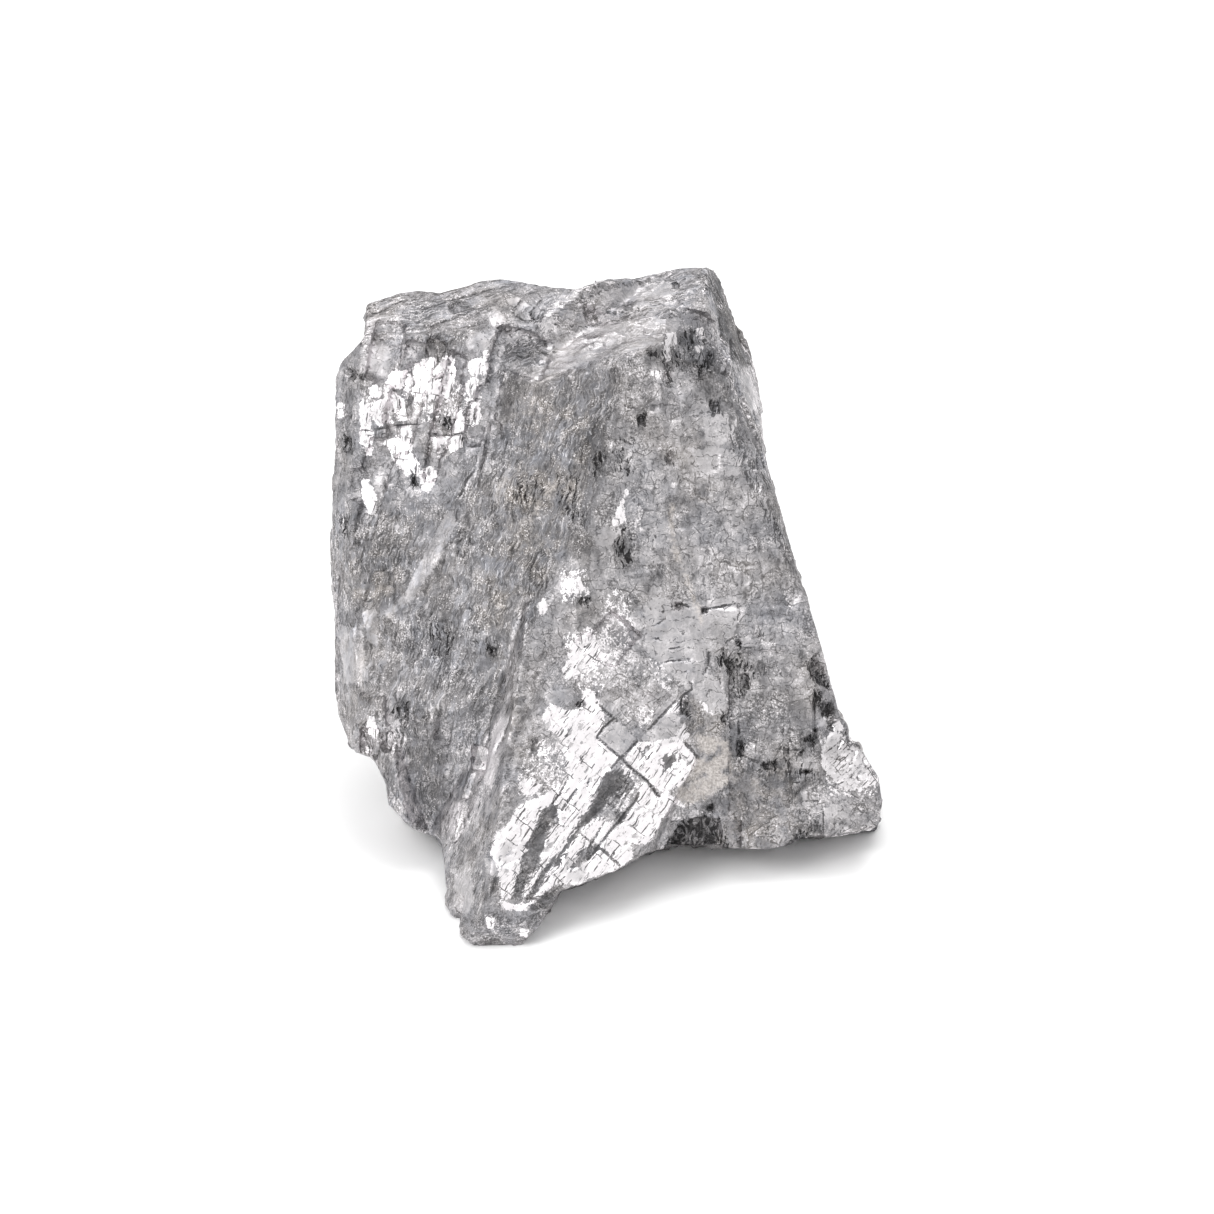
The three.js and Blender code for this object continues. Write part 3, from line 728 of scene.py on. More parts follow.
BACK_CELL = 0.43 * MM  # mesh size on the hidden side; the broad face is meshed twice as fine
FRONT = 0.02  # a face counts as seen when it turns this far to the front
SMOOTHING = 14  # rounds of evening out that give the broad lie of the surface
JOIN = 1e-7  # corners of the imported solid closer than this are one, in metres


def mesh_object(name, mesh):
    made = bpy.data.objects.new(name, mesh)
    bpy.context.scene.collection.objects.link(made)
    return made


def taken_off(piece):
    """The piece's shape with its modifiers worked in, as a plain mesh."""
    seen = piece.evaluated_get(bpy.context.evaluated_depsgraph_get())
    return bpy.data.meshes.new_from_object(seen)


def solid_copy(node):
    """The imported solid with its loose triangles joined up."""
    made = node.data.copy()
    made.transform(node.matrix_world)
    shape = bmesh.new()
    shape.from_mesh(made)
    bmesh.ops.remove_doubles(shape, verts=shape.verts, dist=JOIN)
    shape.to_mesh(made)
    shape.free()
    made.materials.clear()
    return mesh_object("solid_copy", made)


def hugging(mesh, target):
    """The mesh with each vertex moved to the nearest place on the solid."""
    piece = mesh_object("hugging", mesh)
    wrap = piece.modifiers.new("wrap", "SHRINKWRAP")
    wrap.wrap_method = "NEAREST_SURFACEPOINT"
    wrap.target = target
    made = taken_off(piece)
    bpy.data.objects.remove(piece)
    return made


def fine_mesh(solid):
    """An even mesh over the solid, finer over the broad face."""
    remesh = solid.modifiers.new("even mesh", "REMESH")
    remesh.mode = "VOXEL"
    remesh.voxel_size = BACK_CELL
    even = taken_off(solid)
    solid.modifiers.clear()
    even = hugging(even, solid)
    shape = bmesh.new()
    shape.from_mesh(even)
    for face in shape.faces:
        face.normal_update()
    near = Vector(NEAR)
    front = {e for f in shape.faces if f.normal.dot(near) > FRONT for e in f.edges}
    bmesh.ops.subdivide_edges(shape, edges=list(front), cuts=1, use_grid_fill=True)
    bmesh.ops.triangulate(shape, faces=[f for f in shape.faces if len(f.verts) > 4])
    shape.to_mesh(even)
    shape.free()
    return hugging(even, solid)


def numbers(items, what, width):
    """One property of all vertices, edges or corners, as rows of numbers."""
    flat = np.empty(len(items) * width)
    items.foreach_get(what, flat)
    return flat.reshape(-1, width)


def keep(mesh, name, values):
    """Stores one number or one vector for each vertex."""
    kind, field = ("FLOAT", "value") if values.ndim == 1 else ("FLOAT_VECTOR", "vector")
    layer = mesh.attributes.new(name, kind, "POINT")
    layer.data.foreach_set(field, np.ascontiguousarray(values, np.float32).ravel())


def evened(values, edges, rounds):
    """Each vertex's values averaged with its neighbours', several times over."""
    a, b = edges.T
    share = np.bincount(a, minlength=len(values)) + np.bincount(b, minlength=len(values)) + 1
    for _ in range(rounds):
        total = values.copy()
        for axis in range(values.shape[1]):
            total[:, axis] += np.bincount(a, values[b, axis], len(values))
            total[:, axis] += np.bincount(b, values[a, axis], len(values))
        values = total / share[:, None]
    return values


# ---- Laying the crystal out on the mesh ---------------------------------------------------

REACH = 14  # depths are kept up to this many points
TRAITS = ("tone", "step", "fibre", "fleck")
# Patches on the hidden sides lie in groups: how many groups and how far each spreads in mm,
# how many patches, and their least and greatest width and length in mm.
# The bright and fair patches carry the painted reflection and sheen, the dark and pit patches the
# painted shade, as on the broad face.
SCATTER = {
    "bright": (6, 3.2, 90, (0.3, 1.5), (0.8, 3.6)),
    "fair": (9, 5.0, 46, (0.6, 2.4), (1.5, 7.0)),
    "dark": (12, 3.0, 60, (0.2, 0.7), (1.0, 5.0)),
    "pit": (14, 1.6, 70, (0.15, 0.6), (0.2, 0.9)),
    "crack": (9, 4.0, 60, (0.12, 0.2), (1.5, 8.0))}
PATCH_WAVES, PATCH_SWAY = 0.9 * MM, 0.25  # the waves along the edges of these, the sway in mm
PATCH_THICK = 1.5  # how far a patch reaches in and out from its middle, in mm
# How deep at most a place counts as lying in loose flakes, flecks and gaps, in points. It is too
# little for whole plates and hollows, so that only the frayed parts of these patterns show.
FLAKES_CAP, FLECKS_CAP, GAPS_CAP = -1.5, 0, -0.5
SHADE_WAVES, SHADE_SWAY = 1.3 * MM, 4  # the waves along the edges of shades, the sway in points


def crystal_axes(faces, grain):
    """Across the grain, along the grain and outwards, for a face on the picture plane."""
    sight = np.stack([RIGHT, UP, NEAR])
    out = unit(np.array(faces, float) @ sight)
    along = np.array((math.cos(math.radians(grain)), math.sin(math.radians(grain)), 0)) @ sight
    across = unit(np.cross(along, out))
    return np.stack([across, np.cross(out, across), out])


def hidden_crystals(random, count):
    """Crystals of the hidden sides: where each is centred, how it is turned and its tone."""
    centres = random.uniform(*HIDDEN_BOX, (count, 3))
    axes = []
    for centre in centres:
        out = unit(centre - HEART + random.normal(0, LOOSE_TURN, 3))
        lean = random.normal(0, LOOSE_LEAN, 3) + np.array((0, 0, 1))
        across = unit(np.cross(lean, out))
        axes.append(np.stack([across, np.cross(out, across), out]))
    return centres, np.array(axes), random.uniform(*HIDDEN_TONES, count)


def set_zones(co, spots, seen, random):
    """Each vertex's crystal axes and traits."""
    centres, hidden, tones = hidden_crystals(random, HIDDEN_ZONES)
    jitter = waves(co, HIDDEN_WAVES, SEED)[:, None] * HIDDEN_SWAY
    nearest = np.linalg.norm(co[:, None] + jitter[:, None] - centres, axis=2).argmin(axis=1)
    axes = hidden[nearest]
    traits = np.tile([HIDDEN[name] for name in TRAITS], (len(co), 1))
    traits[:, 0] *= tones[nearest]
    sway = np.stack([waves(co, ZONE_WAVES, SEED + n) for n in (1, 2)], axis=1) * ZONE_SWAY
    for place in ZONES.values():
        here = seen.copy()
        if place["outline"]:
            here &= inside(spots + sway, place["outline"])
        axes[here] = crystal_axes(place["faces"], place["grain"])
        traits[here] = [place[name] for name in TRAITS]
    return axes, traits


def scattered(co, axes, places, random, groups, spread, count, widths, lengths):
    """Patches along the grain, in groups: how deep each vertex lies in them, in mm."""
    middles = co[random.choice(places, groups)]
    gap = np.linalg.norm(co[places][:, None] - middles, axis=2).min(axis=1) / MM
    chance = np.exp(-((gap / spread) ** 2))
    depth = np.full(len(co), -REACH * POINT / MM)
    uneven = np.stack([waves(co, PATCH_WAVES, SEED + n) for n in (8, 9, 10)], axis=1)
    uneven *= PATCH_SWAY
    for middle in random.choice(places, count, p=chance / chance.sum()):
        off = (co - co[middle]) @ axes[middle].T / MM + uneven
        half = random.uniform(*widths) / 2, random.uniform(*lengths) / 2
        within = np.minimum(half[0] - abs(off[:, 0]), half[1] - abs(off[:, 1]))
        depth = np.maximum(depth, np.where(abs(off[:, 2]) < PATCH_THICK, within, depth))
    return depth


def set_features(mesh, co, spots, seen, axes, random):
    """Stores how deep each vertex lies in each kind of feature, in mm."""
    to_mm = POINT / MM

    def with_loose(outlines, loose, cap):
        loose_depth = np.minimum(depth_within(spots, loose, REACH), cap)
        return np.maximum(depth_within(spots, outlines, REACH), loose_depth)

    drawn = {
        "bright": with_loose(BRIGHT, BRIGHT_FLAKES, FLAKES_CAP),
        "fair": depth_within(spots, FAIR, REACH),
        "dark": with_loose(DARK, DARK_FLECKS, FLECKS_CAP),
        "pit": with_loose(PITS, GAPS, GAPS_CAP),
        "crack": depth_of_lines(spots, CRACKS, REACH),
        "gangue": np.maximum(depth_within(spots, GANGUE, REACH),
                             depth_of_lines(spots, VEINS, REACH)),
    }
    places = np.flatnonzero(~seen)
    none = np.full(len(co), -REACH * to_mm)
    hidden = {name: scattered(co, axes, places, random, *how) for name, how in SCATTER.items()}
    for name, depth in drawn.items():
        depth = np.where(seen, depth * to_mm, hidden.get(name, none))
        keep(mesh, name, depth)
        drawn[name] = depth
    return drawn


def shaded(tone, co, spots, seen):
    """The tones with the softly lighter and darker parts, painted light and shade, worked in."""
    swayed = spots + waves(co, SHADE_WAVES, SEED + 3)[:, None] * SHADE_SWAY
    for light, edge, outline in SHADES:
        share = soft_within(swayed, outline, edge)
        tone = np.where(seen, tone * (1 + (light - 1) * share), tone)
    return tone


# ---- Node trees ---------------------------------------------------------------------------


class Wiring:
    """Short ways to put nodes into a tree and wire them up."""

    def __init__(self, tree):
        self.tree = tree

    def feed(self, socket, value):
        if isinstance(value, bpy.types.NodeSocket):
            self.tree.links.new(value, socket)
        else:
            socket.default_value = value

    def put(self, kind, inputs=(), **settings):
        node = self.tree.nodes.new(kind)
        for name, value in settings.items():
            setattr(node, name, value)
        for key, value in dict(inputs).items():
            self.feed(node.inputs[key], value)
        return node

    def math(self, operation, *values):
        inputs = dict(enumerate(values))
        return self.put("ShaderNodeMath", inputs, operation=operation).outputs[0]

    def vector(self, operation, first, second):
        other = "Scale" if operation == "SCALE" else 1
        inputs = {0: first, other: second}
        return self.put("ShaderNodeVectorMath", inputs, operation=operation).outputs[0]

    def rise(self, value, low, high):
        """From 0 where the value is under low to 1 where it is over high."""
        inputs = {"Value": value, "From Min": low, "From Max": high}
        node = self.put("ShaderNodeMapRange", inputs, interpolation_type="SMOOTHSTEP")
        return node.outputs[0]

    def times(self, *values):
        first, *rest = values
        for value in rest:
            first = self.math("MULTIPLY", first, value)
        return first

    def total(self, *values):
        first, *rest = values
        for value in rest:
            first = self.math("ADD", first, value)
        return first

    def less(self, value, taken):
        """The value, less what is taken off it."""
        return self.math("SUBTRACT", value, taken)

    def swing(self, value, amount):
        """A value from 0 to 1 turned into one of that size about zero."""
        return self.times(self.less(value, 0.5), amount)

    def blend(self, share, a, b):
        """One number going over to another."""
        inputs = {"Factor": share, "A": a, "B": b}
        return self.put("ShaderNodeMix", inputs, data_type="FLOAT").outputs[0]

    def tint(self, share, a, b):
        """One colour going over to another."""
        return self.put("ShaderNodeMix", {0: share, 6: a, 7: b}, data_type="RGBA").outputs[2]


# ---- Cleavage relief ----------------------------------------------------------------------

# Steps of three sizes, in mm: across the grain, along it, and how high.
STEPS = {"Coarse": (2.6, 4.2, 0.26), "Middle": (1.05, 1.9, 0.17), "Fine": (0.42, 0.85, 0.09)}
SHELF = 1.7  # how deep a shelf of blocks is, in block widths
SHELF_DRAW = 3.5  # sets the draw of a row's shift apart from the draws of the heights
ROW_SHIFT = 9.0  # the rows are shifted by up to this many blocks
SUNKEN = 0.62  # the share of a block's height that lies under the surface
SNAPPED = ("Coarse", "Middle")  # the steps to whose edges vertices are pulled
SNAP_PULL = 0.85  # the share of the way that a vertex is pulled to them
LEVEL_SEED = 17  # how far apart the seeds of the levels are
RELIEF = {
    "Snap": 0.1, "Pit Depth": 0.3, "Crack Depth": 0.12, "Dark Depth": 0.12, "Plate Rise": 0.04,
    "Fair Rise": 0.01, "Flake Width": 0.9, "Flake Length": 1.5, "Flake Height": 0.07,
    "Ridge Width": 0.7, "Ridge Length": 4.0, "Ridge Height": 0.16}
# Features that stand out of the surface or are sunk into it: how deep in mm a place has to lie
# in one for it to set in and to be full, and the size it goes by.
RAISED = [("bright", -0.1, 0.06, "Plate Rise"), ("fair", -0.1, 0.06, "Fair Rise")]
SUNK = [("pit", -0.08, 0.1, "Pit Depth"), ("dark", -0.1, 0.1, "Dark Depth"),
        ("crack", -0.12, 0.06, "Crack Depth")]


def named(w, name, kind="FLOAT"):
    return w.put("GeometryNodeInputNamedAttribute", {"Name": name}, data_type=kind).outputs[0]


def step_level(w, place, group, level, number):
    """Rows of blocks, each at its own height, and the pull of vertices to the block edges."""
    wide, long, high = (group.outputs[f"{level} {word}"] for word in ("Width", "Length", "Height"))
    x, y, z = w.put("ShaderNodeSeparateXYZ", {0: place}).outputs
    seed = w.math("ADD", group.outputs["Seed"], number)

    def draw(*cell):
        at = w.put("ShaderNodeCombineXYZ", dict(enumerate(cell))).outputs[0]
        return w.put("ShaderNodeTexWhiteNoise", {"Vector": at, "W": seed},
                     noise_dimensions="4D").outputs["Value"]

    column = w.math("DIVIDE", x, wide)
    shelf = w.math("FLOOR", w.math("DIVIDE", z, w.times(wide, SHELF)))
    shift = w.times(draw(w.math("FLOOR", column), shelf, SHELF_DRAW), ROW_SHIFT)
    row = w.math("ADD", w.math("DIVIDE", y, long), shift)
    height = draw(w.math("FLOOR", column), w.math("FLOOR", row), shelf)
    height = w.times(w.less(height, SUNKEN), high)
    pulls = []
    for count, size in ((column, wide), (row, long)):
        off = w.times(w.less(w.math("ROUND", count), count), size)
        close = w.math("LESS_THAN", w.math("ABSOLUTE", off), group.outputs["Snap"])
        pulls.append(w.times(off, close, SNAP_PULL))
    return height, pulls


def broken_level(w, place, group):
    """Loose flakes at their own heights, and uneven ridges along the grain."""

    def scaled(word):
        wide, long = group.outputs[f"{word} Width"], group.outputs[f"{word} Length"]
        size = w.put("ShaderNodeCombineXYZ", {0: wide, 1: long, 2: long}).outputs[0]
        return w.vector("DIVIDE", place, size)

    flakes = w.put("ShaderNodeTexVoronoi", {"Vector": scaled("Flake"), "Scale": 1.0},
                   distance="CHEBYCHEV")
    level = w.put("ShaderNodeSeparateXYZ", {0: flakes.outputs["Color"]}).outputs[0]
    ridges = w.put("ShaderNodeTexNoise", {"Vector": scaled("Ridge"), "Scale": 1.0}).outputs[0]
    return w.total(w.swing(level, group.outputs["Flake Height"]),
                   w.swing(ridges, group.outputs["Ridge Height"]))


def relief_moves(w, group):
    """How far in mm each vertex moves outwards, across the grain and along it."""
    place = named(w, "grain_at", "FLOAT_VECTOR")
    levels = {level: step_level(w, place, group, level, number * LEVEL_SEED)
              for number, level in enumerate(STEPS)}
    across, along = zip(*(levels[level][1] for level in SNAPPED))
    heights = w.total(*(height for height, _ in levels.values()))
    step = named(w, "step")
    steps = w.total(w.times(heights, step), broken_level(w, place, group))

    def cut(name, low, high, depth):
        return w.times(w.rise(named(w, name), low, high), group.outputs[depth])

    raised = w.total(steps, *(cut(*how) for how in RAISED))
    sunk = w.total(*(cut(*how) for how in SUNK))
    give = w.math("MINIMUM", step, 1.0)
    return {"lie": w.less(raised, sunk), "across": w.times(w.total(*across), give),
            "along": w.times(w.total(*along), give)}


def open_tree(sizes):
    """A geometry node tree with an input for each size."""
    tree = bpy.data.node_groups.new("Cleavage relief", "GeometryNodeTree")
    for way in ("INPUT", "OUTPUT"):
        tree.interface.new_socket("Geometry", in_out=way, socket_type="NodeSocketGeometry")
    for name in sizes:
        tree.interface.new_socket(name, in_out="INPUT", socket_type="NodeSocketFloat")
    return tree


def relief_tree(finish):
    """The tree that cuts the relief, and the sizes that it is fed."""
    sizes = {"Seed": SEED, **RELIEF}
    for level, values in STEPS.items():
        sizes.update(zip((f"{level} Width", f"{level} Length", f"{level} Height"), values))
    tree = open_tree(sizes)
    w = Wiring(tree)
    group = w.put("NodeGroupInput")
    place = w.put("GeometryNodeInputPosition").outputs[0]
    for name, amount in relief_moves(w, group).items():
        move = w.vector("SCALE", named(w, name, "FLOAT_VECTOR"), w.times(amount, MM))
        place = w.vector("ADD", place, move)
    x, y, z = w.put("ShaderNodeSeparateXYZ", {0: place}).outputs
    on_floor = w.put("ShaderNodeCombineXYZ", {0: x, 1: y, 2: w.math("MAXIMUM", z, 0.0)})
    moved = w.put("GeometryNodeSetPosition",
                  {"Geometry": group.outputs["Geometry"], "Position": on_floor.outputs[0]})
    real = w.put("GeometryNodeRealizeInstances", {"Geometry": moved.outputs[0]})
    done = w.put("GeometryNodeSetMaterial", {"Geometry": real.outputs[0], "Material": finish})
    w.put("NodeGroupOutput", {"Geometry": done.outputs[0]})
    return tree, sizes


def cut_relief(piece, finish):
    """Works the cleavage relief into the piece's mesh."""
    tree, sizes = relief_tree(finish)
    relief = piece.modifiers.new("cleavage relief", "NODES")
    relief.node_group = tree
    for item in tree.interface.items_tree:
        if item.in_out == "INPUT" and item.name in sizes:
            relief[item.identifier] = float(sizes[item.name])
    made = taken_off(piece)
    piece.modifiers.remove(relief)
    return made


# ---- The finish ---------------------------------------------------------------------------
# The metal's light and dark come from patterns laid over it, much of it painted reflection, glints
# and shade. Their sizes are in mm: across the grain, along it and outwards.

# How far each way of following the grain wanders off it, in mm.
WANDER = {"straight": 0.35, "bent": 0.9, "curved": 1.4}
# Clouded patterns: the way each is laid, the size of its swells, its detail and its roughness.
CLOUDED = {
    "threads": ("bent", (0.13, 0.8, 0.4), 3.0, 0.65),
    "strands": ("bent", (0.17, 0.9, 0.5), 1.0, 0.6),
    "shards": ("bent", (0.32, 0.8, 0.5), 3.0, 0.65),
    "smears": ("bent", (0.7, 2.0, 1.2), 2.0, 0.55),
    "hairs": ("bent", (0.3, 3.2, 1.0), 2.0, 0.5),
    "ticks": ("bent", (0.9, 0.11, 0.6), 1.0, 0.5),
    "streaks": ("straight", (0.2, 2.2, 0.6), 2.0, 0.6),
    "specks": ("even", (0.11, 0.11, 0.11), 1.0, 0.6),
    "frays": ("even", (0.12, 0.12, 0.12), 2.0, 0.5),
    "crumbs": ("even", (0.18, 0.18, 0.18), 2.0, 0.7),
    "grains": ("even", (0.3, 0.3, 0.3), 2.0, 0.6),
    "tears": ("even", (0.3, 0.3, 0.3), 3.0, 0.7),
    "clouds": ("even", (1.1, 1.1, 1.1), 3.0, 0.6),
    "banks": ("even", (2.2, 2.2, 2.2), 2.0, 0.5),
    "swells": ("even", (4.0, 4.0, 4.0), 1.0, 0.5)}
# Square-cornered blocks, each with its own number: their size and how loosely they are stacked.
BLOCKS = {"small": ((0.9, 1.3, 1.1), 1.0), "tiny": ((0.24, 0.4, 0.3), 0.8)}
PLATES = (1.7, 2.1, 1.9)  # the size of the angular plates
# Thin cracks: the way they are laid, how far apart across and along the grain, and their width.
FACE_CRACKS = ("curved", 1.5, 0.8, 0.045)
MIRROR_CRACKS = ("straight", 0.6, 1.7, 0.045)
# GLITTER draws thin light lines in the black pits: painted glints.
GLITTER = ("curved", 0.4, 0.9, 0.04)

# How deep in mm a place has to lie in each kind of feature for it to set in and to be full,
# and the pattern that frays its edge, with how far it does so.
EDGES = {
    "bright": (-0.11, -0.06, "ragged", 0.6), "fair": (-0.05, 0.03, "ragged", 0.6),
    "dark": (-0.04, 0.04, "streaky", 1.0), "pit": (-0.02, 0.03, "streaky", 1.0),
    "crack": (-0.05, 0.03, "ragged", 0.25), "gangue": (-0.2, 0.2, "ragged", 1.0)}
# How far each pattern swings the light and dark, and how much weaker and stronger the flecks
# and specks are from place to place. The light and dark of the flecks and specks is in part
# painted:
# it stands for glints and shade on tiny facets turned each their own way.
SWINGS = {
    "flecks": 0.95, "specks": 1.4, "grains": 0.7, "clouds": 1.2, "small": 0.3, "tiny": 0.2,
    "plates": 0.5, "smears": 0.8, "swells": 0.3}
WEAK, STRONG = 0.65, 1.35
CALMED = 0.65  # the share of them that is lost on smooth metal


def mark(drawn, gathers, cover, light, over=None):
    return dict(drawn=drawn, gathers=gathers, cover=cover, light=light, over=over)


# Marks on the metal, in the order they are laid: the pattern each is drawn from and between
# which values it sets in, or as a thin line round the first of three values; where it gathers,
# given in the same way; how much it covers; how light it is; and the metal it is kept to.
MARKS = {
    # glint: painted highlights, white specks for light glancing off tiny facets.
    "glint": mark(("specks", 0.62, 0.68), ("clouds", 0.45, 0.6), 0.7, 0.85),
    # wisp: painted highlights, thin light curls on the rough metal.
    "wisp": mark(("grains", 0.52, 0.022, 0.0), ("clouds", 0.5, 0.6), 0.25, 0.85, "broken"),
    "nick": mark(("shards", 0.62, 0.66), ("clouds", 0.52, 0.46), 0.7, 0.11),
    "gloom": mark(("strands", 0.38, 0.34), ("clouds", 0.56, 0.48), 1.0, "gloom", "shadowed"),
    "hairline": mark(("hairs", 0.5, 0.02, 0.004), ("clouds", 0.56, 0.5), 0.55, 0.1, "fibre"),
    "gleam": mark(("strands", 0.63, 0.67), ("smears", 0.48, 0.56), 0.6, 0.62, "fibre"),
    "rim": mark(("rims", 0.035, 0.01), ("clouds", 0.5, 0.58), 0.7, 0.09, "solid")}
# How light each hollow or broken place is, with the shade in the hollows painted dark, and how
# strongly the light and dark show in it.
TONES = {
    "gloom": (0.08, 0.3), "broken mirror": (0.4, 0.8), "dark": (0.14, 1.3), "pit": (0.035, 2.2)}
# The same for the smooth cleavage, as how many times lighter than the dull metal it is: its
# painted sheen and, on the mirror faces, its painted reflection.
LIFTS = {"fair": (1.5, 0.5), "mirror": (3.1, 0.25)}
MIRROR_TOP = 0.98  # as light as a mirror face gets
# CRACK_TONE is the painted shade in the cleavage cracks; GLITTER_TONE is how light the painted
# glints in the pits are.
CRACK_TONE, FACE_CRACK_TONE, GLITTER_TONE = 0.08, 0.09, 0.4
FIBRE_HIDES = 0.6  # the share of the face cracks that fibrous metal hides
PIT_SHARDS = 0.5  # the share of a pit that shards fill
# How much each covers of what lies under it.
COVER = {
    "fair": 0.9, "dark": 0.92, "crack": 0.85, "face crack": 0.85, "gangue": 0.7, "pit": 0.95,
    "glitter": 0.6, "mirror line": 0.85, "faint line": 0.4, "broken mirror": 0.75}
DARKEST, BRIGHTEST = 0.02, 0.97
GREEN, BLUE = (0.966, 0.025), (0.982, 0.065)  # to one part of red, and what brown takes off
DEEP_CREAM, CREAM = (0.3, 0.27, 0.25, 1), (0.52, 0.48, 0.45, 1)  # the gangue
ROUGH = {"metal": 0.5, "fair": 0.42, "bright": 0.3, "dull": 0.65}
BUMP_HEIGHT = 0.05 * MM


def held(w, name, field="Fac"):
    """What the mesh holds under that name."""
    return w.put("ShaderNodeAttribute", attribute_name=name).outputs[field]


def lay_patterns(w):
    """All the patterns, and how fibrous, solid and smooth each place is."""
    even = w.vector("SCALE", w.put("ShaderNodeTexCoord").outputs["Object"], 1 / MM)
    grain = held(w, "grain_at", "Vector")
    wander = w.put("ShaderNodeTexNoise", {"Vector": even, "Scale": 1.1, "Detail": 2.0})
    wander = w.vector("SUBTRACT", wander.outputs["Color"], (0.5, 0.5, 0.5))
    laid = SimpleNamespace(even=even, fibre=held(w, "fibre"))
    for way, amount in WANDER.items():
        setattr(laid, way, w.vector("ADD", grain, w.vector("SCALE", wander, amount)))

    def lay(kind, way, sizes, inputs=(), **settings):
        at = w.vector("MULTIPLY", getattr(laid, way), [1 / size for size in sizes])
        return w.put(kind, {"Vector": at, "Scale": 1.0, **dict(inputs)}, **settings).outputs

    for name, (way, sizes, detail, rough) in CLOUDED.items():
        clouded = lay("ShaderNodeTexNoise", way, sizes, {"Detail": detail, "Roughness": rough})
        setattr(laid, name, clouded[0])
    for name, (sizes, loose) in BLOCKS.items():
        block = lay("ShaderNodeTexVoronoi", "bent", sizes, {"Randomness": loose},
                    distance="CHEBYCHEV")
        setattr(laid, name, w.put("ShaderNodeSeparateColor", {0: block["Color"]}).outputs[0])
    plate = lay("ShaderNodeTexVoronoi", "straight", PLATES, feature="F1")
    calm, laid.plates, _ = w.put("ShaderNodeSeparateColor", {0: plate["Color"]}).outputs
    edge = lay("ShaderNodeTexVoronoi", "straight", PLATES, feature="DISTANCE_TO_EDGE")
    laid.rims = edge["Distance"]

    laid.ragged = w.total(w.swing(laid.tears, 1.0), w.swing(laid.frays, 0.5))
    laid.streaky = w.total(w.times(laid.ragged, 0.8), w.swing(laid.strands, 1.8))
    laid.solid = w.rise(laid.fibre, 0.7, 0.3)
    laid.shadowed = w.blend(laid.fibre, 0.5, 0.85)
    blocks = w.blend(laid.fibre, w.rise(laid.small, 0.52, 0.58), w.rise(laid.smears, 0.53, 0.6))
    laid.smooth = w.math("MAXIMUM", blocks, w.times(w.rise(calm, 0.5, 0.52), laid.solid))
    laid.broken = w.less(1.0, laid.smooth)
    return laid


def find_features(w, laid):
    """How surely each place lies in each kind of feature."""
    found = SimpleNamespace()
    for name, (low, high, edge, loose) in EDGES.items():
        depth = w.math("ADD", held(w, name), w.times(getattr(laid, edge), loose))
        setattr(found, name, w.rise(depth, low, high))
    found.gangue = w.times(found.gangue, w.rise(laid.clouds, 0.3, 0.5))
    return found


def cracks(w, laid, kind, patches):
    """Thin cracks along and across the grain, in patches."""
    way, across, along, width = kind
    inputs = {"Vector": getattr(laid, way), "Scale": 1.0, "Mortar Size": width,
              "Mortar Smooth": 0.3, "Brick Width": across, "Row Height": along}
    return w.times(w.put("ShaderNodeTexBrick", inputs).outputs["Fac"], patches)


def drawn_from(w, laid, name, *values):
    """Where a pattern is past two values, or near the first of three."""
    pattern = getattr(laid, name)
    if len(values) == 3:
        middle, *values = values
        pattern = w.math("ABSOLUTE", w.less(pattern, middle))
    return w.rise(pattern, *values)


def light_and_dark(w, laid):
    """How the patterns swing the metal's tone, as a power, so that the swings multiply."""
    loud = w.blend(w.rise(laid.banks, 0.4, 0.6), WEAK, STRONG)
    quiet = w.times(loud, held(w, "fleck"), w.less(1.0, w.times(laid.smooth, CALMED)))
    laid.flecks = w.rise(w.blend(laid.fibre, laid.crumbs, laid.threads), 0.34, 0.66)
    swings = {name: w.swing(getattr(laid, name), amount) for name, amount in SWINGS.items()}
    held_back = {"flecks": quiet, "specks": quiet, "clouds": w.less(1.35, laid.fibre),
                 "plates": w.less(1.0, laid.fibre)}
    for name, share in held_back.items():
        swings[name] = w.times(swings[name], share)
    return w.total(*swings.values())


def mirror_tone(w, laid, own, toned):
    """Mirror-bright cleavage as a painted reflection, crossed by fine lines and broken in places.
    """
    lines = w.math("MAXIMUM", cracks(w, laid, MIRROR_CRACKS, w.rise(laid.clouds, 0.48, 0.56)),
                   w.times(w.rise(laid.streaks, 0.4, 0.36), w.rise(laid.smears, 0.52, 0.46)))
    faint = w.times(drawn_from(w, laid, "grains", 0.5, 0.03, 0.0), COVER["faint line"],
                    w.rise(laid.clouds, 0.54, 0.62))
    lines = w.math("MAXIMUM", lines, faint)
    lift, share = LIFTS["mirror"]
    clean = toned(w.math("MINIMUM", w.times(own, lift), MIRROR_TOP), share)
    tone = w.times(clean, w.less(1.0, w.times(lines, COVER["mirror line"])))
    breaks = w.times(w.rise(laid.shards, 0.57, 0.6), w.rise(laid.streaks, 0.62, 0.52))
    breaks = w.times(breaks, COVER["broken mirror"])
    return w.blend(breaks, tone, toned(*TONES["broken mirror"]))


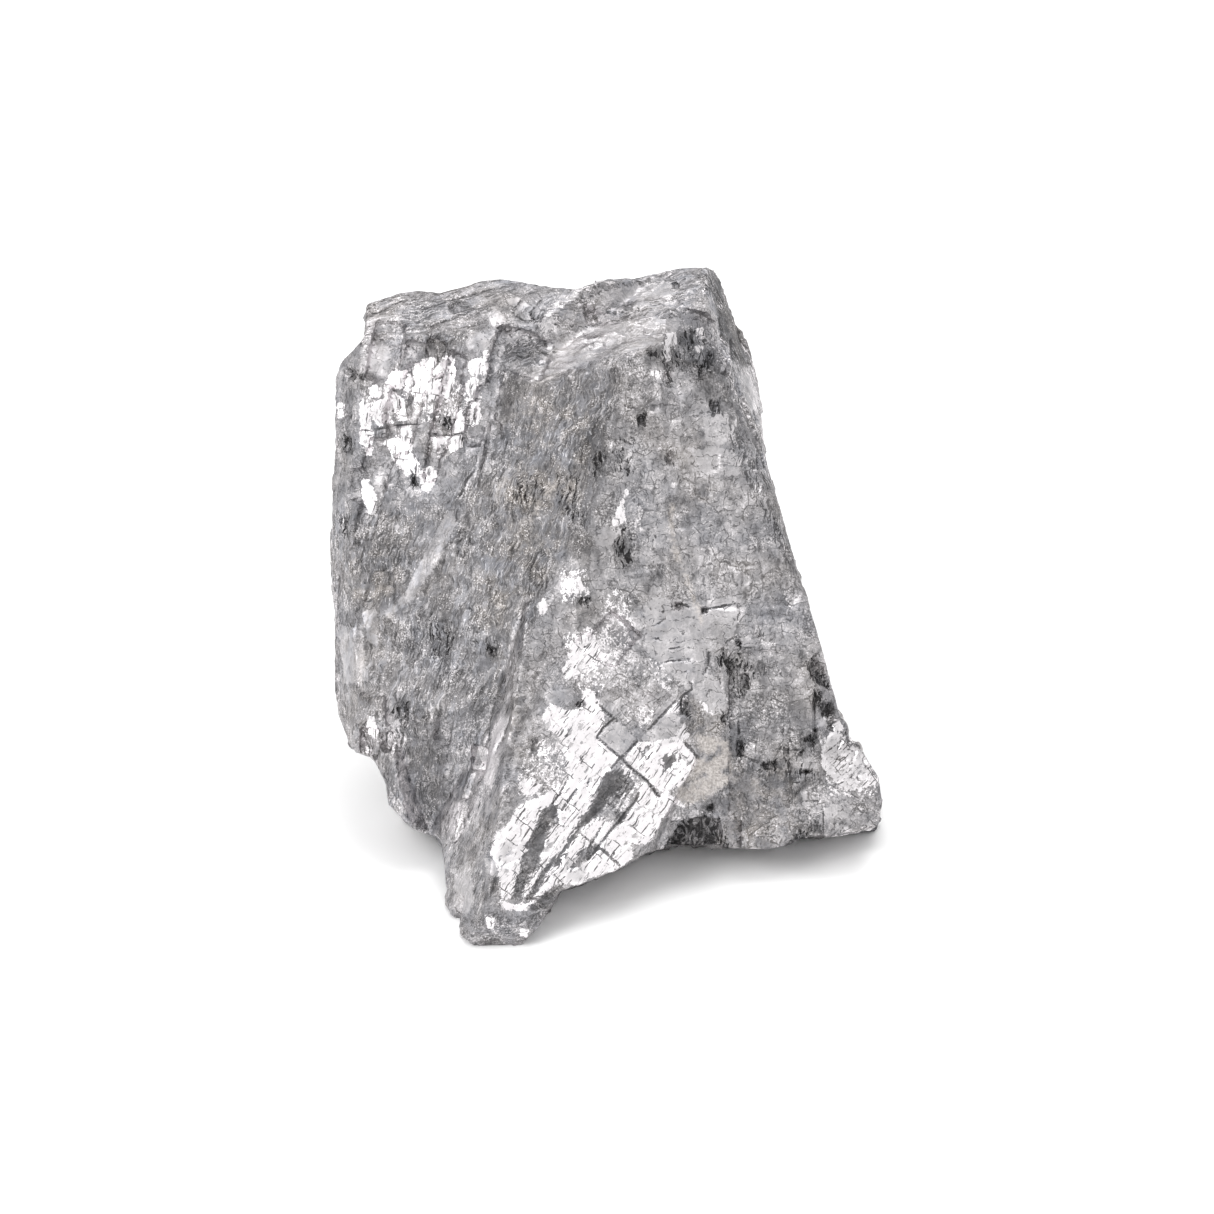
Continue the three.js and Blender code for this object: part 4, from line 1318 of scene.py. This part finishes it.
def metal_tone(w, laid, found):
    """How light the metal is: dull metal first, then its marks and features over it, some of them
    painted light and shade.
    """
    own, power = held(w, "tone"), light_and_dark(w, laid)

    def toned(base, share):
        return w.times(base, w.math("EXPONENT", w.times(power, share)))

    tone = toned(own, 1.0)
    for each in MARKS.values():
        shares = [drawn_from(w, laid, *each[what]) for what in ("drawn", "gathers")]
        shares += [getattr(laid, each["over"])] if each["over"] else []
        light = each["light"]
        light = toned(*TONES[light]) if light in TONES else light
        tone = w.blend(w.times(*shares, each["cover"]), tone, light)
    lift, share = LIFTS["fair"]
    tone = w.blend(w.times(found.fair, COVER["fair"]), tone, toned(w.times(own, lift), share))

    thin = cracks(w, laid, FACE_CRACKS, w.rise(laid.grains, 0.47, 0.53))
    ticks = w.times(w.rise(laid.ticks, 0.66, 0.69), w.rise(laid.smears, 0.56, 0.48))
    cover = w.less(COVER["face crack"], w.times(laid.fibre, FIBRE_HIDES))
    tone = w.blend(w.times(w.math("MAXIMUM", thin, ticks), cover), tone, FACE_CRACK_TONE)

    tone = w.blend(found.bright, tone, mirror_tone(w, laid, own, toned))
    tone = w.blend(w.times(found.dark, COVER["dark"]), tone, toned(*TONES["dark"]))
    # Painted glints: thin light lines laid over the black of the pits.
    glitter = cracks(w, laid, GLITTER, w.rise(laid.shards, 0.5, 0.56))
    black = w.blend(w.times(glitter, COVER["glitter"]), toned(*TONES["pit"]), GLITTER_TONE)
    whole = w.less(COVER["pit"], w.times(w.rise(laid.shards, 0.49, 0.55), PIT_SHARDS))
    tone = w.blend(w.times(found.pit, whole), tone, black)
    tone = w.blend(w.times(found.crack, COVER["crack"]), tone, CRACK_TONE)
    return w.math("MINIMUM", w.math("MAXIMUM", tone, DARKEST), BRIGHTEST)


def lump_colour(w, laid, found, tone):
    """Lead grey, brown here and there where it is dark, with cream gangue over it."""
    brown = w.total(w.times(held(w, "warm"), w.rise(laid.clouds, 0.35, 0.65)),
                    w.swing(laid.clouds, 2.2), w.swing(laid.swells, 3.0),
                    w.times(laid.smooth, laid.fibre, -0.7))
    brown = w.times(brown, w.rise(tone, 0.6, 0.3))
    green, blue = (w.times(tone, w.less(share, w.times(brown, drop)))
                   for share, drop in (GREEN, BLUE))
    metal = w.put("ShaderNodeCombineColor", {0: tone, 1: green, 2: blue}).outputs[0]
    cream = w.tint(w.rise(laid.crumbs, 0.35, 0.65), DEEP_CREAM, CREAM)
    return w.tint(w.times(found.gangue, COVER["gangue"]), metal, cream)


def lump_roughness(w, laid, found):
    rough = w.total(ROUGH["metal"], w.swing(laid.threads, 0.2), w.swing(laid.tiny, 0.1))
    rough = w.blend(found.fair, rough, ROUGH["fair"])
    rough = w.blend(found.bright, rough, ROUGH["bright"])
    dull = w.math("MAXIMUM", found.pit, w.math("MAXIMUM", found.crack, found.gangue))
    return w.blend(dull, rough, ROUGH["dull"])


def fine_bumps(w, laid, found):
    """Threads and grains too fine for the mesh, fainter on the smooth cleavage."""
    height = w.total(w.times(laid.threads, 0.6, laid.fibre), w.times(laid.grains, 0.4),
                     w.times(laid.tiny, 0.2))
    calmer = w.less(1.0, w.times(w.math("MAXIMUM", found.fair, found.bright), 0.6))
    return w.put("ShaderNodeBump", {
        "Strength": 0.6, "Distance": BUMP_HEIGHT, "Height": w.times(height, calmer)}).outputs[0]


def galena_finish():
    """Lead-grey metal, by how clean the cleavage is at each place, with painted reflection and
    shade in its colour.
    """
    made = bpy.data.materials.new("Galena")
    made.use_nodes = True
    made.node_tree.nodes.clear()
    w = Wiring(made.node_tree)
    laid = lay_patterns(w)
    found = find_features(w, laid)
    shader = w.put("ShaderNodeBsdfPrincipled", {
        "Base Color": lump_colour(w, laid, found, metal_tone(w, laid, found)),
        "Roughness": lump_roughness(w, laid, found), "Metallic": w.less(1.0, found.gangue),
        "Normal": fine_bumps(w, laid, found)})
    w.put("ShaderNodeOutputMaterial", {"Surface": shader.outputs[0]})
    return made


# ---- The lump -----------------------------------------------------------------------------

# Six views of the lump as they share the bake map: the side each looks at, the way that runs
# from left to right in it, and its low and high corner on the map.
VIEWS = [
    (NEAR, RIGHT, (0.0, 0.27), (0.6, 1.0)), (-NEAR, UP, (0.6, 0.67), (1.0, 1.0)),
    (RIGHT, UP, (0.6, 0.34), (1.0, 0.67)), (-RIGHT, UP, (0.6, 0.0), (1.0, 0.34)),
    (UP, RIGHT, (0.0, 0.0), (0.3, 0.27)), (-UP, RIGHT, (0.3, 0.0), (0.6, 0.27))]
VIEW_GAP = 0.006  # left clear around each view

BEND_WAVES, BEND = 3 * MM, 0.45 * MM  # the waves of the fibrous grain, and how far it bends
SOFTENING = 5  # rounds of evening out where one crystal meets the next
FLAT_EDGE = 0.4  # how wide in mm the edge of a flat, fair place is
FLATNESS = 0.8  # how much lower the cleavage steps are there
SHARP = math.radians(28)  # edges over this angle are shaded as sharp


def add_bake_map(mesh, co, lie):
    """Lays the lump out flat in six views, the broad face the largest."""
    starts, counts = (numbers(mesh.polygons, what, 1)[:, 0].astype(int)
                      for what in ("loop_start", "loop_total"))
    corner = numbers(mesh.loops, "vertex_index", 1)[:, 0].astype(int)
    way = np.add.reduceat(lie[corner], starts, axis=0)
    shown = np.repeat((way @ np.array([side for side, *_ in VIEWS]).T).argmax(axis=1), counts)
    places = np.zeros((len(corner), 2))
    for number, (side, run, low, high) in enumerate(VIEWS):
        flat = co @ np.stack([run, np.cross(side, run)], axis=1)
        flat = (flat - flat.min(axis=0)) / np.ptp(flat, axis=0)
        low, high = np.array(low) + VIEW_GAP, np.array(high) - VIEW_GAP
        here = shown == number
        places[here] = (low + flat * (high - low))[corner[here]]
    layer = mesh.uv_layers.new(name="OFBake")
    layer.data.foreach_set("uv", places.astype(np.float32).ravel())


def lay_out_crystal(mesh, co, lie, edges):
    """Stores on the mesh how each place split, and what lies there."""
    random = np.random.default_rng(SEED)
    spots = on_picture(co)
    seen = lie @ NEAR > 0.0
    axes, traits = set_zones(co, spots, seen, random)
    bend = np.stack([waves(co, BEND_WAVES, SEED + n) for n in (5, 6, 7)], axis=1)
    bend *= traits[:, 2:3] * BEND
    keep(mesh, "grain_at", np.einsum("nij,nj->ni", axes, co + bend) / MM)
    keep(mesh, "across", axes[:, 0])
    keep(mesh, "along", axes[:, 1])
    keep(mesh, "lie", lie)
    depths = set_features(mesh, co, spots, seen, axes, random)
    flat = np.clip(depths["fair"] / FLAT_EDGE + 0.5, 0, 1)
    tone, step, fibre, fleck = evened(traits, edges, SOFTENING).T
    keep(mesh, "tone", shaded(tone, co, spots, seen))
    keep(mesh, "step", step * (1 - FLATNESS * flat))
    keep(mesh, "fibre", fibre)
    keep(mesh, "fleck", fleck)
    warm = sum(soft_within(spots, outline, REACH) for outline in WARM)
    keep(mesh, "warm", np.where(seen, warm, HIDDEN_WARMTH))


def make_lump(node):
    finish = galena_finish()
    solid = solid_copy(node)
    mesh = fine_mesh(solid)
    bpy.data.objects.remove(solid)
    co = numbers(mesh.vertices, "co", 3)
    normals = numbers(mesh.vertex_normals, "vector", 3)
    edges = numbers(mesh.edges, "vertices", 2).astype(np.int64)
    lie = unit(evened(normals, edges, SMOOTHING))
    lay_out_crystal(mesh, co, lie, edges)
    piece = mesh_object("galena_lump", mesh)
    made = cut_relief(piece, finish)
    piece.data = made
    add_bake_map(made, co, lie)
    for name in ("across", "along", "lie", "step"):
        made.attributes.remove(made.attributes[name])
    made.polygons.foreach_set("use_smooth", [True] * len(made.polygons))
    made.set_sharp_from_angle(angle=SHARP)
    return piece


# ---- The studio ---------------------------------------------------------------------------

FLOOR = 1.5  # from the middle of the floor to its edge, in metres
# Round lamps: where each stands, how wide it is and its power in watts.
LAMPS = {
    "Window left": ((-0.45, -0.35, 0.55), 0.5, 2.2), "Window top": ((0.1, 0.15, 0.7), 0.5, 1.7)}
LIT = Vector((0, 0, 0.02))  # what the lamps are turned to
SENSOR = 36  # the width of the camera's sensor, in mm


def make_floor():
    shape = bmesh.new()
    bmesh.ops.create_grid(shape, x_segments=1, y_segments=1, size=FLOOR)
    mesh = bpy.data.meshes.new("floor")
    shape.to_mesh(mesh)
    shape.free()
    paper = bpy.data.materials.new("White paper")
    paper.use_nodes = True
    shader = paper.node_tree.nodes["Principled BSDF"]
    shader.inputs["Base Color"].default_value = (1, 1, 1, 1)
    shader.inputs["Roughness"].default_value = 0.9
    mesh.materials.append(paper)
    return mesh_object("floor", mesh)


def add_lamp(name, place, size, power):
    lamp = bpy.data.lights.new(name, "AREA")
    lamp.shape, lamp.size, lamp.energy = "DISK", size, power
    made = bpy.data.objects.new(name, lamp)
    made.location = place
    made.rotation_euler = (LIT - Vector(place)).to_track_quat("-Z", "Y").to_euler()
    bpy.context.scene.collection.objects.link(made)


def set_studio():
    scene = bpy.context.scene
    world = bpy.data.worlds.new("Studio")
    world.use_nodes = True
    back = world.node_tree.nodes["Background"]
    back.inputs["Color"].default_value = (1, 1, 1, 1)
    back.inputs["Strength"].default_value = 1.0
    scene.world = world
    scene.view_settings.view_transform = "Standard"
    for name, how in LAMPS.items():
        add_lamp(name, *how)
    camera = bpy.data.objects.new("Camera", bpy.data.cameras.new("Camera"))
    camera.data.sensor_width = SENSOR
    camera.data.lens = SENSOR * DISTANCE / (POINTS * POINT)
    camera.location = MIDDLE + Vector(NEAR) * DISTANCE
    camera.rotation_euler = (-Vector(NEAR)).to_track_quat("-Z", "Y").to_euler()
    camera.data.clip_start, camera.data.clip_end = 0.1, 10
    scene.collection.objects.link(camera)
    scene.camera = camera


set_studio()
lump = make_lump(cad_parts["galena"])
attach(lump, "root")
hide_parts("galena")
make_floor()
